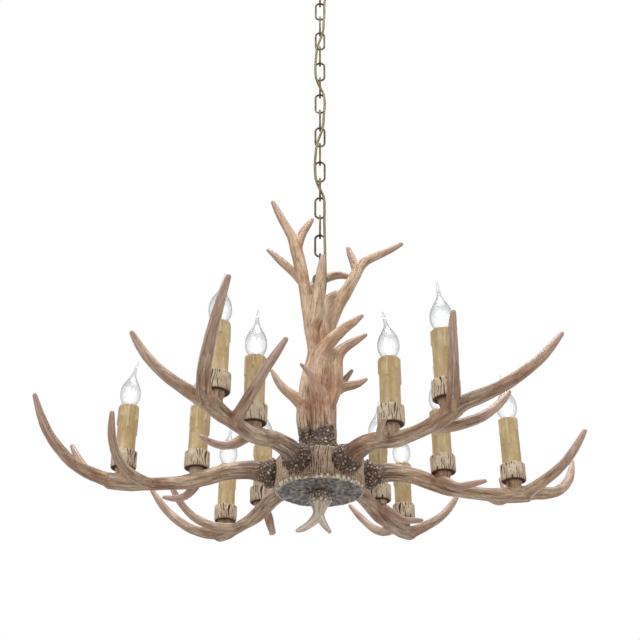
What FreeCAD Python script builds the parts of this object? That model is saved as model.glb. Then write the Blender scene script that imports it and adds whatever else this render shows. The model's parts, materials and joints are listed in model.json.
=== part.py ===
import FreeCAD, Part
import math
import os

# Antler chandelier, in millimetres.
# Origin: centre of the ceiling face, +Z up, so the whole lamp hangs at negative Z.
# Heights named *_Z below are in this frame; heights named *_UP are above the drum's underside.

V = FreeCAD.Vector
UP = V(0, 0, 1)

# ---------------------------------------------------------------- clearances
LINK_GAP = 0.1            # between the wires of two links that hang in each other
PIVOT_GAP = 0.3           # the same, where one of them swings
SEAT_GAP = 0.1            # between a round piece and the hole that it sits in
BORE_GAP = 0.3            # around a rod that passes through a hole
OVERLAP = 0.5             # how far two shapes of one casting run into each other

# ---------------------------------------------------------------- ceiling parts
CANOPY_R = 65.0
CANOPY_H = 28.0
CANOPY_WALL = 1.2
CANOPY_RIM_H = 5.0
CANOPY_NECK_R = 15.0
BAR_LENGTH = 110.0
BAR_WIDTH = 20.0
BAR_THICK = 2.5
BAR_HOLE_SPACING = 88.0
BAR_HOLE_R = 2.6
ROD_R = 6.5               # threaded nipple in the canopy and tie rod in the column
ROD_BORE_R = 4.0
RING_NUT_R = 11.0
RING_NUT_H = 5.0
COLLAR_R = 12.0
COLLAR_H = 8.0
BOSS_R = 9.0              # boss of the canopy's loop, where its ring starts
COLUMN_BOSS_R = 8.0
COLUMN_BOSS_H = 16.0
ROD_IN_BOSS = 6.0
LOOP_WIRE = 5.0
CANOPY_LOOP_R = 15.0      # mean radius of the canopy's ring
COLUMN_LOOP_R = 11.5      # mean radius of the column's ring
BOSS_TO_RING = 8.0        # how far a boss reaches past its ring's outer edge

# ---------------------------------------------------------------- chain
LINK_WIRE = 4.0
LINK_INNER_L = 43.0
LINK_INNER_W = 14.0
LINK_COUNT = 18

# ---------------------------------------------------------------- hub
DRUM_R = 74.0
DRUM_H = 46.0
DRUM_WALL = 9.0
DRUM_ROOM_H = 200.0       # height of what is cut off the arms for the drum
DRUM_GROOVES = 36
DRUM_GROOVE_DEPTH = 2.0
DRUM_GROOVE_W = 3.0
PLATE_R = 73.0
PLATE_H = 6.0
NUT_ACROSS = 22.0
NUT_H = 7.0
FLANGE_R = 16.0
FLANGE_H = 2.0
ROD_BELOW = 15.0          # how far the tie rod reaches into the finial

# ---------------------------------------------------------------- arms
ARM_COUNT = 6
ARM_PIVOT_UP = 33.0       # height of the arm's bolt above the drum's underside
ARM_BOLT_R = 3.0
ARM_BOLT_IN_ARM = 32.0
ARM_BOLT_HEAD_ACROSS = 10.0
ARM_BOLT_HEAD_H = 4.0
ARM_WASHER_R = 9.0
ARM_WASHER_H = 1.6

# Each arm is one casting. Its points are (out from the lamp's axis, to the left when
# looking out, up from the drum's underside, diameter).
BEAM = (
    (70, 2, 32, 47), (80, 3, 33, 43), (92, 3, 35, 36), (113, 4, 38, 31), (144, 4, 37, 27),
    (173, 6, 29, 27), (202, 8, 20, 26), (227, 10, 15, 23), (252, 12, 13, 21), (276, 14, 12, 21),
    (300, 15, 12, 24), (322, 16, 14, 26), (343, 16, 17, 27),
)
OUTER_TINE = (
    (338, 14, 16, 25), (356, 22, 21, 22), (377, 35, 27, 20), (396, 50, 35, 18), (415, 70, 52, 17),
    (431, 90, 73, 14.5), (441, 107, 96, 12), (449, 124, 122, 5.5),
)
INNER_TINE = (
    (338, 15, 16, 24), (352, 3, 24, 20), (376, -14, 39, 17), (393, -27, 53, 14.5),
    (407, -38, 70, 13), (418, -46, 87, 11), (428, -52, 105, 5.5),
)
FRONT_TINE = (
    (276, 14, 12, 20), (291, 36, 13, 18), (307, 60, 20, 16), (318, 83, 33, 14),
    (323, 103, 51, 12.5), (323, 119, 69, 10.5), (321, 133, 87, 5.5),
)
BROW_TINE = (
    (193, 4, 27, 17), (203, -12, 22, 14.5), (213, -22, 12, 12.5), (225, -32, 6, 10.5),
    (237, -41, 6, 9), (250, -47, 8, 6.5), (263, -50, 11, 3),
)
FORK_BALL = (340, 16, 17, 28)
# Every arm settles a little differently when its bolt is tightened:
# (turn round the lamp, roll about the arm, nod up and down), in degrees, from the arm at +X on.
ARM_SET = (
    (1.0, 0.0, -2.4), (-2.4, 0.0, 2.5), (0.6, 1.0, 1.0),
    (-1.0, -1.0, 0.0), (0.1, 3.0, 1.0), (1.1, -3.5, 1.0),
)

# ---------------------------------------------------------------- candles
INNER_CANDLE = (203.0, 2.0, 41.0)     # out, left and height of the cup's underside
OUTER_CANDLE = (321.0, 16.0, 37.0)
CUP_R = 21.0
CUP_FOOT_R = 18.5
CUP_H = 29.0
CUP_FLOOR = 8.0
CUP_ROUNDING = 5.0        # height over which the cup's foot widens
CUP_LIP = 1.5             # chamfer of its rim
CUP_GROOVES = 18
CUP_GROOVE_DEPTH = 1.2
CUP_GROOVE_W = 2.2
SEAT_R = 13.5             # antler boss under a cup
SEAT_FOOT_R = 10.5
SEAT_DEPTH = 18.0
SLEEVE_R = 16.0
SLEEVE_WALL = 2.2
SLEEVE_H = 102.4
DRIPS = ((20, 34, 3.0), (75, 22, 2.4), (120, 44, 3.2), (175, 28, 2.6), (230, 50, 3.0), (290, 24, 2.6))
NIPPLE_R = 5.0
NIPPLE_BORE_R = 3.5
CANDLE_NUT_ACROSS = 14.0
CANDLE_NUT_H = 4.0
HOLDER_R = 12.5
HOLDER_H = 44.0
HOLDER_BELOW_RIM = 3.5
HOLDER_BORE_R = 7.2
HOLDER_BORE_DEPTH = 18.3

# ---------------------------------------------------------------- bulbs
CAP_R = 6.9               # over the thread of an E14 screw cap
CAP_H = 17.0
CAP_WALL = 0.6
CONTACT_R = 3.0
CONTACT_H = 2.5
CAP_TOP_BELOW_RIM = 2.0
STEM_R = 2.2
STEM_H = 22.0
FILAMENT_R = 0.5
FILAMENT_SPREAD = 5.0
FILAMENT_H = 14.0
GLASS_WALL = 0.9
# Outside of the glass: (radius, height above the sleeve's rim).
GLASS_PROFILE = (
    (6.0, -5.0), (6.0, -2.5), (7.8, 0.8), (12.4, 7.0), (16.3, 15.0), (17.5, 24.0), (16.2, 34.0),
    (12.6, 43.0), (8.4, 50.5), (5.2, 57.0), (3.5, 64.0), (2.6, 73.0), (2.0, 80.0), (1.2, 86.0),
)

# ---------------------------------------------------------------- column
# Points are (x, y, height above the drum's underside, diameter).
FRONT_BEAM = (
    (4, -12, 52, 62), (4, -12, 66, 60), (5, -13, 82, 46), (5, -14, 104, 38), (4, -16, 130, 35),
    (1, -20, 165, 37), (-2, -26, 200, 39), (1, -32, 232, 33), (16, -38, 256, 24),
    (38, -42, 278, 18), (57, -43, 293, 14), (73, -44, 306, 5),
)
FRONT_BRANCH = (
    (8, -14, 140, 30), (20, -14, 172, 30), (25, -15, 200, 30), (25, -16, 226, 29),
    (31, -14, 246, 24), (44, -10, 262, 18), (62, -6, 277, 13.5), (81, -4, 290, 5),
)
FRONT_LOW_TINE = (
    (18, -12, 172, 26), (36, -6, 186, 20), (52, -3, 191, 15), (66, -1, 196, 12), (80, 0, 205, 4),
)
FRONT_SMALL_TINE = (
    (4, -30, 160, 18), (-8, -39, 181, 12), (-20, -44, 197, 8.5), (-32, -47, 210, 3.5),
)
LEFT_BEAM = (
    (-12, 4, 52, 42), (-13, 3, 66, 41), (-18, 2, 90, 33), (-25, 0, 128, 30), (-24, -1, 170, 28),
    (-20, -1, 200, 30), (-13, -1, 226, 31), (-8, -2, 250, 29), (-9, -4, 270, 28), (-16, -8, 308, 26),
    (-22, -12, 349, 24), (-30, -14, 398, 22), (-41, -16, 452, 24), (-46, -17, 474, 23),
    (-54, -20, 492, 17), (-69, -25, 519, 12.5), (-80, -28, 541, 10), (-88, -30, 558, 5),
)
LEFT_FORK_TINE = (
    (-42, -16, 462, 20), (-36, -15, 488, 16.5), (-27, -12, 510, 14), (-20, -11, 523, 11),
    (-14, -10, 533, 5),
)
LEFT_FRONT_TINE = (
    (-12, -8, 300, 25), (-6, -18, 330, 25), (-3, -25, 358, 23), (0, -30, 385, 19),
    (2, -33, 408, 15), (4, -35, 424, 11), (5, -35, 436, 5.5),
)
LEFT_BACK_TINE = (
    (-32, -12, 396, 18), (-48, -2, 421, 16), (-66, 4, 443, 15), (-82, 8, 462, 11.5), (-97, 10, 478, 5),
)
LEFT_CURL_TINE = (
    (-22, -9, 362, 19), (-18, 8, 388, 19), (-6, 21, 408, 18.5), (12, 28, 422, 17),
    (30, 31, 430, 14.5), (45, 29, 428, 11.5), (57, 25, 420, 5),
)
LEFT_LOW_TINE = (
    (-26, -2, 152, 24), (-44, -8, 168, 19), (-60, -12, 179, 15), (-73, -14, 196, 11), (-83, -15, 215, 4),
)
RIGHT_BEAM = (
    (13, 16, 52, 42), (14, 17, 66, 41), (16, 19, 90, 33), (17, 21, 130, 30), (15, 24, 190, 28),
    (9, 26, 250, 27), (12, 20, 308, 28), (20, 14, 332, 28), (31, 8, 356, 25), (43, 3, 375, 22),
    (54, 0, 394, 20), (64, 0, 415, 19), (71, 1, 433, 18), (84, 2, 447, 15), (104, 4, 458, 13.5),
    (130, 5, 472, 11), (152, 5, 488, 4.5),
)
RIGHT_SMALL_TINE = (
    (68, 0, 424, 16), (62, 0, 446, 13), (56, 0, 461, 10), (52, 0, 475, 5),
)
RIGHT_REAR_TINE = (
    (16, 21, 178, 20), (34, 18, 200, 13), (46, 15, 215, 9), (56, 12, 228, 4),
)
RIGHT_WEB = (
    (10, 15, 292, 18), (14, 13, 322, 22), (18, 11, 345, 23), (22, 9, 361, 20), (25, 8, 372, 13),
)

COLUMN_SCREW_R = 2.2
COLUMN_SCREW_L = 30.0
COLUMN_SCREW_HEAD_R = 4.5
COLUMN_SCREW_HEAD_H = 2.5
COLUMN_ROOM = 300.0       # side of the block that levels off the antlers' bases
COLUMN_SCREW_SPOTS = ((10, -30), (-24, 8), (20, 28))

# ---------------------------------------------------------------- finial
FINIAL = (
    (0, 0, 0, 27), (0, 0, -8, 34), (0, 0, -15, 36), (-1, 0, -24, 27), (-2, 0, -34, 19),
    (-8, 0, -45, 15), (-20, 0, -56, 11), (-29, 0, -61, 8.5), (-37, 0, -64, 4),
)
FINIAL_TINE = ((-2, 0, -32, 15), (3, 0, -47, 11.5), (9, 0, -57, 9), (16, 0, -66, 4))

# ---------------------------------------------------------------- wiring
CORD_D = 5.0
CORD_GAP = 2.0            # between two stretches of the cord, where the chain bends
HUB_BLOCK = (18.0, 30.0, 18.0)
CEILING_BLOCK = (16.0, 26.0, 9.5)
# The cord's route, chosen by hand, as (x, y, z) from the chain's first link down.
# Link k's centre is level k; a height is given as (level, mm above that level).
CORD_WEAVE = (
    (12.6, -3, 2, 1), (10, -6, 2, -16), (9, -7.5, 3, 6), (9.5, -7, 3, -16), (7.5, -8, 4, 4),
    (7.5, -8.5, 4, -16), (4.5, -7.5, 5, 10), (-1.5, -7, 5, -8), (-6.5, -8, 6, 16), (-8, -8.5, 6, -6),
    (-9.5, -7.5, 7, 14), (-9.5, -6.5, 7, -8), (-7, -5, 8, 15), (0.5, -0.5, 8, -1), (7, -4.5, 8, -17),
    (9.5, -7, 9, 4), (9.5, -7.5, 9, -16), (7.5, -8, 10, 6), (7, -8.5, 10, -14), (4, -7.5, 11, 10),
    (-2, -7, 11, -8), (-7, -8, 12, 14), (-8.5, -8.5, 12, -6), (-10, -7.5, 13, 14), (-9.5, -6.5, 13, -8),
    (-7, -5, 14, 15), (0.5, -0.5, 14, -1), (7, -4.5, 14, -17), (8.5, -7, 15, 4), (8, -7.5, 16, 4),
    (9, -7, 17, 4), (9.5, -7.4, 18, 0),
)
# From there on, as (x, y, height above the drum's underside): past the column's loop,
# through a window into the tie rod, down its bore and out to the terminal block.
CORD_IN_COLUMN = (
    (10, -8, 412), (10, -8.2, 390), (7, -5.8, 368), (1.5, -1.3, 346), (0, 0, 322), (0.4, 0, 280),
    (0, 0.4, 225), (-0.4, 0, 170), (0, -0.4, 115), (0, 0, 64), (1.2, 0, 42), (6, 0, 27), (16, 0, 17),
    (30, 0, 17),
)
ROD_WINDOW_RUNS = (2, 3, 9, 10, 11)
ANTLER_GROOVE_RUNS = (0, 1, 2, 3)
NIPPLE_WINDOW_RUNS = (0, 1, 2)
WINDOW_GAP = 1.2
# Above the chain: from the ceiling block to the loop's bore, and past the top link.
CORD_IN_CANOPY = ((22, 0, -9), (13, 0, -9), (5.2, 0, -13.5), (0.6, 0, -21.5), (0, 0, -34), (0, 0.1, -47.5))
CORD_AT_LINK = (
    (0, 0, -49.5), (1, -1.9, -55.5), (7.6, -8, -67), (12.5, -6.6, -82), (14.8, -3, -95), (15, -1, -107.7),
)

TIP_STEPS = 3


def smooth(points, steps=2):
    """Points on a curve through the given ones, with `steps` of them to each span."""
    ends = [points[0]] + list(points) + [points[-1]]
    curve = []
    for i in range(1, len(ends) - 2):
        before, start, stop, after = ends[i - 1:i + 3]
        for k in range(steps):
            t = k / steps
            curve.append(tuple(
                0.5 * (2 * b + (c - a) * t + (2 * a - 5 * b + 4 * c - d) * t ** 2
                       + (3 * b - a - 3 * c + d) * t ** 3)
                for a, b, c, d in zip(before, start, stop, after)))
    curve.append(tuple(float(value) for value in points[-1]))
    return curve


def ring_wire(centre, along, side, radius):
    """A circle square to `along`, whose seam lies towards `side`."""
    frame = FreeCAD.Rotation(side, along.cross(side), along, "ZXY")
    circle = Part.Circle(V(0, 0, 0), UP, radius).toShape()
    circle.Placement = FreeCAD.Placement(centre, frame)
    return Part.Wire([circle])


def limb(points, steps=2):
    """A tapering solid along the points (x, y, z, diameter), rounded at its far end."""
    curve = smooth(points, steps)
    spots = [V(*point[:3]) for point in curve]
    side = UP
    rings = []
    for i, spot in enumerate(spots):
        along = (spots[min(i + 1, len(spots) - 1)] - spots[max(i - 1, 0)]).normalize()
        if i == 0 and abs(along.z) > 0.9:
            side = V(1, 0, 0)
        side = (side - along * side.dot(along)).normalize()
        rings.append(ring_wire(spot, along, side, curve[i][3] / 2))
    tip_r = curve[-1][3] / 2
    for k in range(1, TIP_STEPS):
        angle = math.pi / 2 * k / TIP_STEPS
        spot = spots[-1] + along * (tip_r * math.sin(angle))
        rings.append(ring_wire(spot, along, side, tip_r * math.cos(angle)))
    return Part.makeLoft(rings, True, False)


def fused(shapes):
    whole = shapes[0].multiFuse(shapes[1:]) if len(shapes) > 1 else shapes[0]
    return whole.removeSplitter()


def rod(radius, length, base, along=UP):
    return Part.makeCylinder(radius, length, base, along)


def tube(outer, inner, length, base):
    return rod(outer, length, base).cut(rod(inner, length + 2, base - UP))


def spun_point(radius, angle):
    """A point at `radius` from the Z axis, `angle` degrees round from +X."""
    return V(radius * math.cos(math.radians(angle)), radius * math.sin(math.radians(angle)), 0)


def hexagon(across, height, base, along=UP):
    corner = across / math.sqrt(3)
    corners = [spun_point(corner, k * 60) for k in range(6)]
    prism = Part.Face(Part.makePolygon(corners + corners[:1])).extrude(V(0, 0, height))
    prism.Placement = FreeCAD.Placement(base, FreeCAD.Rotation(UP, along))
    return prism


def turned(profile):
    """A solid of revolution about Z from a closed outline of (radius, height) points."""
    points = [V(r, 0, z) for r, z in profile]
    return Part.Face(Part.makePolygon(points + points[:1])).revolve(V(0, 0, 0), UP, 360)


def moved(shape, offset):
    copy = shape.copy()
    copy.translate(offset)
    return copy


def spun(shape, angle, axis=UP, centre=V(0, 0, 0)):
    copy = shape.copy()
    copy.rotate(centre, axis, angle)
    return copy


def cord_tube(points, diameter, name):
    """A round tube along straight runs joined by tangent arcs, as large as the runs allow."""
    spots = [V(*point) for point in points]
    edges = []
    start = spots[0]
    length = 0.0
    radii = []
    for before, corner, after in zip(spots, spots[1:], spots[2:]):
        inward = (before - corner).normalize()
        outward = (after - corner).normalize()
        turn = math.pi - inward.getAngle(outward)
        reach = 0.45 * min((before - corner).Length, (after - corner).Length)
        radius = reach / math.tan(turn / 2)
        radii.append(round(radius))
        first = corner + inward * reach
        last = corner + outward * reach
        middle = (inward + outward).normalize()
        crown = corner + middle * (radius / math.cos(turn / 2) - radius)
        edges.append(Part.LineSegment(start, first).toShape())
        edges.append(Part.Arc(first, crown, last).toShape())
        length += (first - start).Length + radius * turn
        start = last
    edges.append(Part.LineSegment(start, spots[-1]).toShape())
    length += (spots[-1] - start).Length
    path = Part.Wire(edges)
    along = (spots[1] - spots[0]).normalize()
    section = Part.Wire([Part.Circle(spots[0], along, diameter / 2).toShape()])
    solid = path.makePipeShell([section], True, False)
    ideal = math.pi * diameter ** 2 / 4 * length
    print(name, "length", round(length), "mm, volume", round(solid.Volume / ideal, 4),
          "of ideal, radii", radii)
    return solid


# ---------------------------------------------------------------- heights that follow
COLLAR_Z = -CANOPY_H
BOSS_Z = COLLAR_Z - COLLAR_H
CANOPY_RING_Z = BOSS_Z - CANOPY_LOOP_R - LOOP_WIRE / 2 + 2
SWAY_Z = CANOPY_RING_Z - CANOPY_LOOP_R                       # pivot of the top link
TOP_LINK_Z = SWAY_Z + LOOP_WIRE / 2 + PIVOT_GAP - LINK_INNER_L / 2
SWING_Z = TOP_LINK_Z - LINK_INNER_L / 2 - LINK_WIRE / 2      # pivot of everything below
LINK_PITCH = LINK_INNER_L - LINK_GAP
LAST_LINK_Z = TOP_LINK_Z - (LINK_INNER_L - PIVOT_GAP) - (LINK_COUNT - 2) * LINK_PITCH
COLUMN_RING_Z = LAST_LINK_Z - LINK_INNER_L / 2 + LINK_GAP + LOOP_WIRE / 2 - COLUMN_LOOP_R
COLUMN_RING_UP = 406.6                                       # above the drum's underside
HUB_Z = COLUMN_RING_Z - COLUMN_RING_UP
COLUMN_BOSS_UP = COLUMN_RING_UP - COLUMN_LOOP_R - LOOP_WIRE / 2 + 3
ROD_TOP_UP = COLUMN_BOSS_UP - COLUMN_BOSS_H + ROD_IN_BOSS
DRUM_TOP_UP = PLATE_H + DRUM_H
HUB = V(0, 0, HUB_Z)


def link_level(number):
    """Height of the centre of link `number`, where link 1 hangs on the canopy's loop."""
    if number == 1:
        return TOP_LINK_Z
    return TOP_LINK_Z - (LINK_INNER_L - PIVOT_GAP) - (number - 2) * LINK_PITCH


def chain_link(number):
    """An oval link; odd links face the front, even links are turned edge-on to it."""
    bow_r = (LINK_INNER_W + LINK_WIRE) / 2
    leg = LINK_INNER_L / 2 + LINK_WIRE / 2 - bow_r
    top, bottom = V(0, 0, leg + bow_r), V(0, 0, -leg - bow_r)
    right_top, right_bottom = V(bow_r, 0, leg), V(bow_r, 0, -leg)
    left_top, left_bottom = V(-bow_r, 0, leg), V(-bow_r, 0, -leg)
    path = Part.Wire([
        Part.LineSegment(right_bottom, right_top).toShape(),
        Part.Arc(right_top, top, left_top).toShape(),
        Part.LineSegment(left_top, left_bottom).toShape(),
        Part.Arc(left_bottom, bottom, right_bottom).toShape(),
    ])
    section = Part.Wire([Part.Circle(right_bottom, UP, LINK_WIRE / 2).toShape()])
    link = path.makePipeShell([section], True, False)
    turn = 0 if number % 2 else 90
    return moved(spun(link, turn), V(0, 0, link_level(number)))


def cord_window(route, runs):
    """What is cut away so that the cord's route can pass through a wall."""
    room = []
    for first in runs:
        start = V(*route[first])
        run = V(*route[first + 1]) - start
        room.append(rod(CORD_D / 2 + WINDOW_GAP, run.Length, start, run))
        room.append(Part.makeSphere(CORD_D / 2 + WINDOW_GAP, start))
    return fused(room)


def mounting_bar():
    bar = Part.makeBox(BAR_LENGTH, BAR_WIDTH, BAR_THICK, V(-BAR_LENGTH / 2, -BAR_WIDTH / 2, -BAR_THICK))
    for side in (-1, 1):
        spot = V(side * BAR_HOLE_SPACING / 2, 0, -BAR_THICK - 1)
        bar = bar.cut(rod(BAR_HOLE_R, BAR_THICK + 2, spot))
    return bar.cut(rod(ROD_R + SEAT_GAP, BAR_THICK + 2, V(0, 0, -BAR_THICK - 1)))


def canopy():
    wall = CANOPY_WALL
    step = (CANOPY_R - CANOPY_NECK_R) / 3
    fall = (CANOPY_H - CANOPY_RIM_H) / 3
    outside = [
        (CANOPY_R, 0),
        (CANOPY_R, -CANOPY_RIM_H),
        (CANOPY_R - step * 0.5, -CANOPY_RIM_H - fall * 0.55),
        (CANOPY_R - step * 1.2, -CANOPY_RIM_H - fall * 1.1),
        (CANOPY_NECK_R + step, -CANOPY_RIM_H - fall * 1.9),
        (CANOPY_NECK_R + step * 0.4, -CANOPY_RIM_H - fall * 2.4),
        (CANOPY_NECK_R, -CANOPY_H),
    ]
    hole = ROD_R + BORE_GAP
    inside = [(max(r - wall, hole), z + (wall if z < -wall else 0)) for r, z in outside]
    return turned(outside + [(hole, -CANOPY_H), (hole, -CANOPY_H + wall)] + inside[::-1])


def canopy_nipple():
    """Hollow rod from the bar to the loop; the cord enters it through a window in its side."""
    length = CANOPY_H + COLLAR_H - 1
    body = tube(ROD_R, ROD_BORE_R, length, V(0, 0, -length))
    return body.cut(cord_window(CORD_IN_CANOPY, NIPPLE_WINDOW_RUNS))


def ring_nut():
    base = V(0, 0, -CANOPY_H + CANOPY_WALL)
    nut = hexagon(2 * RING_NUT_R, RING_NUT_H, base)
    return nut.cut(rod(ROD_R + SEAT_GAP, RING_NUT_H + 2, base - UP))


def canopy_loop():
    """Screw collar with a ring under it; the cord comes out of its bore, on the lamp's axis."""
    ring = Part.makeTorus(CANOPY_LOOP_R, LOOP_WIRE / 2, V(0, 0, CANOPY_RING_Z), V(1, 0, 0))
    collar = rod(COLLAR_R, COLLAR_H, V(0, 0, BOSS_Z))
    boss = rod(BOSS_R, BOSS_TO_RING, V(0, 0, BOSS_Z - BOSS_TO_RING + OVERLAP))
    body = fused([collar, boss, ring])
    body = body.cut(rod(ROD_R + SEAT_GAP, COLLAR_H, V(0, 0, BOSS_Z + 1)))
    return body.cut(rod(ROD_BORE_R, COLLAR_H + BOSS_TO_RING + 2, V(0, 0, BOSS_Z - BOSS_TO_RING)))


def column_loop():
    """Ring on a boss that screws over the tie rod's top end."""
    ring = Part.makeTorus(COLUMN_LOOP_R, LOOP_WIRE / 2, V(0, 0, COLUMN_RING_UP), V(0, 1, 0))
    low = COLUMN_BOSS_UP - COLUMN_BOSS_H
    body = fused([rod(COLUMN_BOSS_R, COLUMN_BOSS_H, V(0, 0, low)), ring])
    return body.cut(rod(ROD_R + SEAT_GAP, ROD_IN_BOSS + 1, V(0, 0, low - 1)))


def cord_route():
    weave = [(x, y, link_level(number) + rise) for x, y, number, rise in CORD_WEAVE]
    column = [(x, y, HUB_Z + up) for x, y, up in CORD_IN_COLUMN]
    x, y, end = CORD_AT_LINK[-1]
    return [(x, y, end - CORD_GAP), (x - 0.4, y - 0.6, end - CORD_GAP - 8)] + weave + column


def hub_drum():
    """Hollow drum, closed on top, with bark grooves down its side."""
    drum = rod(DRUM_R, DRUM_H, V(0, 0, PLATE_H))
    hollow = rod(DRUM_R - DRUM_WALL, DRUM_H - DRUM_WALL, V(0, 0, PLATE_H))
    drum = drum.cut(hollow)
    grooves = []
    for k in range(DRUM_GROOVES):
        depth = DRUM_GROOVE_DEPTH * (1.0 if k % 3 else 0.6)
        foot = V(DRUM_R + DRUM_GROOVE_W / 2 - depth, 0, PLATE_H - 1)
        groove = rod(DRUM_GROOVE_W / 2, DRUM_H + 2, foot)
        grooves.append(spun(groove, (k + 0.5 + 0.25 * math.sin(5 * k)) * 360 / DRUM_GROOVES))
    drum = drum.cut(Part.makeCompound(grooves))
    below_lid = DRUM_TOP_UP - DRUM_WALL - 1
    drum = drum.cut(rod(ROD_R + SEAT_GAP, DRUM_WALL + 2, V(0, 0, below_lid)))
    for number in range(ARM_COUNT):
        drum = drum.cut(spun(arm_bolt_hole(), arm_azimuth(number)))
    for x, y in COLUMN_SCREW_SPOTS:
        drum = drum.cut(rod(COLUMN_SCREW_R + SEAT_GAP, DRUM_WALL + 2, V(x, y, below_lid)))
    return drum


def arm_azimuth(number):
    """Direction of arm `number` in degrees, counterclockwise from +X."""
    return number * 360 / ARM_COUNT + ARM_SET[number][0]


def arm_bolt_hole():
    start = DRUM_R - DRUM_WALL - 3
    length = DRUM_WALL + 3 + ARM_BOLT_IN_ARM + 1
    return rod(ARM_BOLT_R + SEAT_GAP, length, V(start, 0, ARM_PIVOT_UP), V(1, 0, 0))


def inner_wall_x(half_width):
    """Distance from the axis at which a flat disc touches the drum's round inner wall."""
    inside = DRUM_R - DRUM_WALL
    return math.sqrt(inside ** 2 - half_width ** 2)


def arm_bolt():
    seat = inner_wall_x(ARM_WASHER_R) - ARM_WASHER_H
    shank = rod(ARM_BOLT_R, DRUM_R + ARM_BOLT_IN_ARM - seat, V(seat, 0, ARM_PIVOT_UP), V(1, 0, 0))
    head_base = V(seat - ARM_BOLT_HEAD_H, 0, ARM_PIVOT_UP)
    head = hexagon(ARM_BOLT_HEAD_ACROSS, ARM_BOLT_HEAD_H, head_base, V(1, 0, 0))
    return fused([shank, head])


def arm_washer():
    seat = inner_wall_x(ARM_WASHER_R) - ARM_WASHER_H
    disc = rod(ARM_WASHER_R, ARM_WASHER_H, V(seat, 0, ARM_PIVOT_UP), V(1, 0, 0))
    return disc.cut(arm_bolt_hole())


def bottom_plate():
    """Round plate with a pebbled, slightly scalloped rim."""
    rim = 1.0
    plate = turned(((0, 0), (PLATE_R - 3 * rim, 0), (PLATE_R, 2 * rim), (PLATE_R, PLATE_H), (0, PLATE_H)))
    return plate.cut(rod(ROD_R + SEAT_GAP, PLATE_H + 2, V(0, 0, -1)))


def tie_rod():
    length = ROD_TOP_UP + ROD_BELOW
    body = tube(ROD_R, ROD_BORE_R, length, V(0, 0, -ROD_BELOW))
    return body.cut(cord_window(CORD_IN_COLUMN, ROD_WINDOW_RUNS))


def hub_nut():
    """Flanged nut that clamps the drum against the column."""
    seat = DRUM_TOP_UP - DRUM_WALL
    flange = rod(FLANGE_R, FLANGE_H, V(0, 0, seat - FLANGE_H))
    nut = hexagon(NUT_ACROSS, NUT_H, V(0, 0, seat - NUT_H))
    return fused([flange, nut]).cut(rod(ROD_R + SEAT_GAP, NUT_H + 2, V(0, 0, seat - NUT_H - 1)))


def column_screw(x, y):
    top_inside = DRUM_TOP_UP - DRUM_WALL
    head = rod(COLUMN_SCREW_HEAD_R, COLUMN_SCREW_HEAD_H, V(x, y, top_inside - COLUMN_SCREW_HEAD_H))
    return fused([head, rod(COLUMN_SCREW_R, COLUMN_SCREW_L, V(x, y, top_inside - OVERLAP))])


def column_cutters():
    top_inside = DRUM_TOP_UP - DRUM_WALL
    cutters = [
        rod(ROD_R + SEAT_GAP, ROD_TOP_UP, V(0, 0, 0)),
        cord_window(CORD_IN_COLUMN, ANTLER_GROOVE_RUNS),
    ]
    for x, y in COLUMN_SCREW_SPOTS:
        cutters.append(rod(COLUMN_SCREW_R, COLUMN_SCREW_L + DRUM_WALL, V(x, y, top_inside)))
    return Part.makeCompound(cutters)


def column_antlers():
    """Three antlers round the tie rod, each notched where it crosses the one in front."""
    cutters = column_cutters()
    half = COLUMN_ROOM / 2
    floor = Part.makeBox(COLUMN_ROOM, COLUMN_ROOM, half, V(-half, -half, DRUM_TOP_UP - half))
    front = fused([limb(FRONT_BEAM), limb(FRONT_BRANCH), limb(FRONT_LOW_TINE), limb(FRONT_SMALL_TINE)])
    left = fused([limb(LEFT_BEAM), limb(LEFT_FORK_TINE), limb(LEFT_FRONT_TINE), limb(LEFT_BACK_TINE),
                  limb(LEFT_CURL_TINE), limb(LEFT_LOW_TINE)])
    right = fused([limb(RIGHT_BEAM), limb(RIGHT_SMALL_TINE), limb(RIGHT_REAR_TINE), limb(RIGHT_WEB)])
    right = biggest(right.cut(front).cut(left))
    left = biggest(left.cut(front))
    return [biggest(antler.cut(floor).cut(cutters)) for antler in (front, left, right)]


def biggest(shape):
    return max(shape.Solids, key=lambda solid: solid.Volume)


def finial():
    body = fused([limb(FINIAL), limb(FINIAL_TINE)])
    return body.cut(rod(ROD_R + SEAT_GAP, ROD_BELOW + 1, V(0, 0, -ROD_BELOW - 0.5)))


def arm_casting():
    """The bare antler of an arm that points along +X: beam, brow tine, front tine and fork."""
    ball = Part.makeSphere(FORK_BALL[3] / 2, V(*FORK_BALL[:3]))
    tines = [limb(points) for points in (OUTER_TINE, INNER_TINE, FRONT_TINE, BROW_TINE)]
    return fused([limb(BEAM), ball] + tines)


def settle(number):
    """Placement of arm `number`: its roll and nod about its bolt, then its turn round the hub."""
    turn, roll, nod = ARM_SET[number]
    pivot = V(DRUM_R, 0, ARM_PIVOT_UP)
    lean = FreeCAD.Rotation(V(0, -1, 0), nod) * FreeCAD.Rotation(V(1, 0, 0), roll)
    round_hub = FreeCAD.Rotation(UP, arm_azimuth(number))
    tilt = FreeCAD.Placement(pivot, lean, V(0, 0, 0)) * FreeCAD.Placement(-pivot, FreeCAD.Rotation())
    return FreeCAD.Placement(V(0, 0, 0), round_hub) * tilt


def candle_spot(number, place):
    """Centre of a cup's underside on arm `number`; the cup itself always stands upright."""
    return settle(number).multVec(V(*place))


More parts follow.
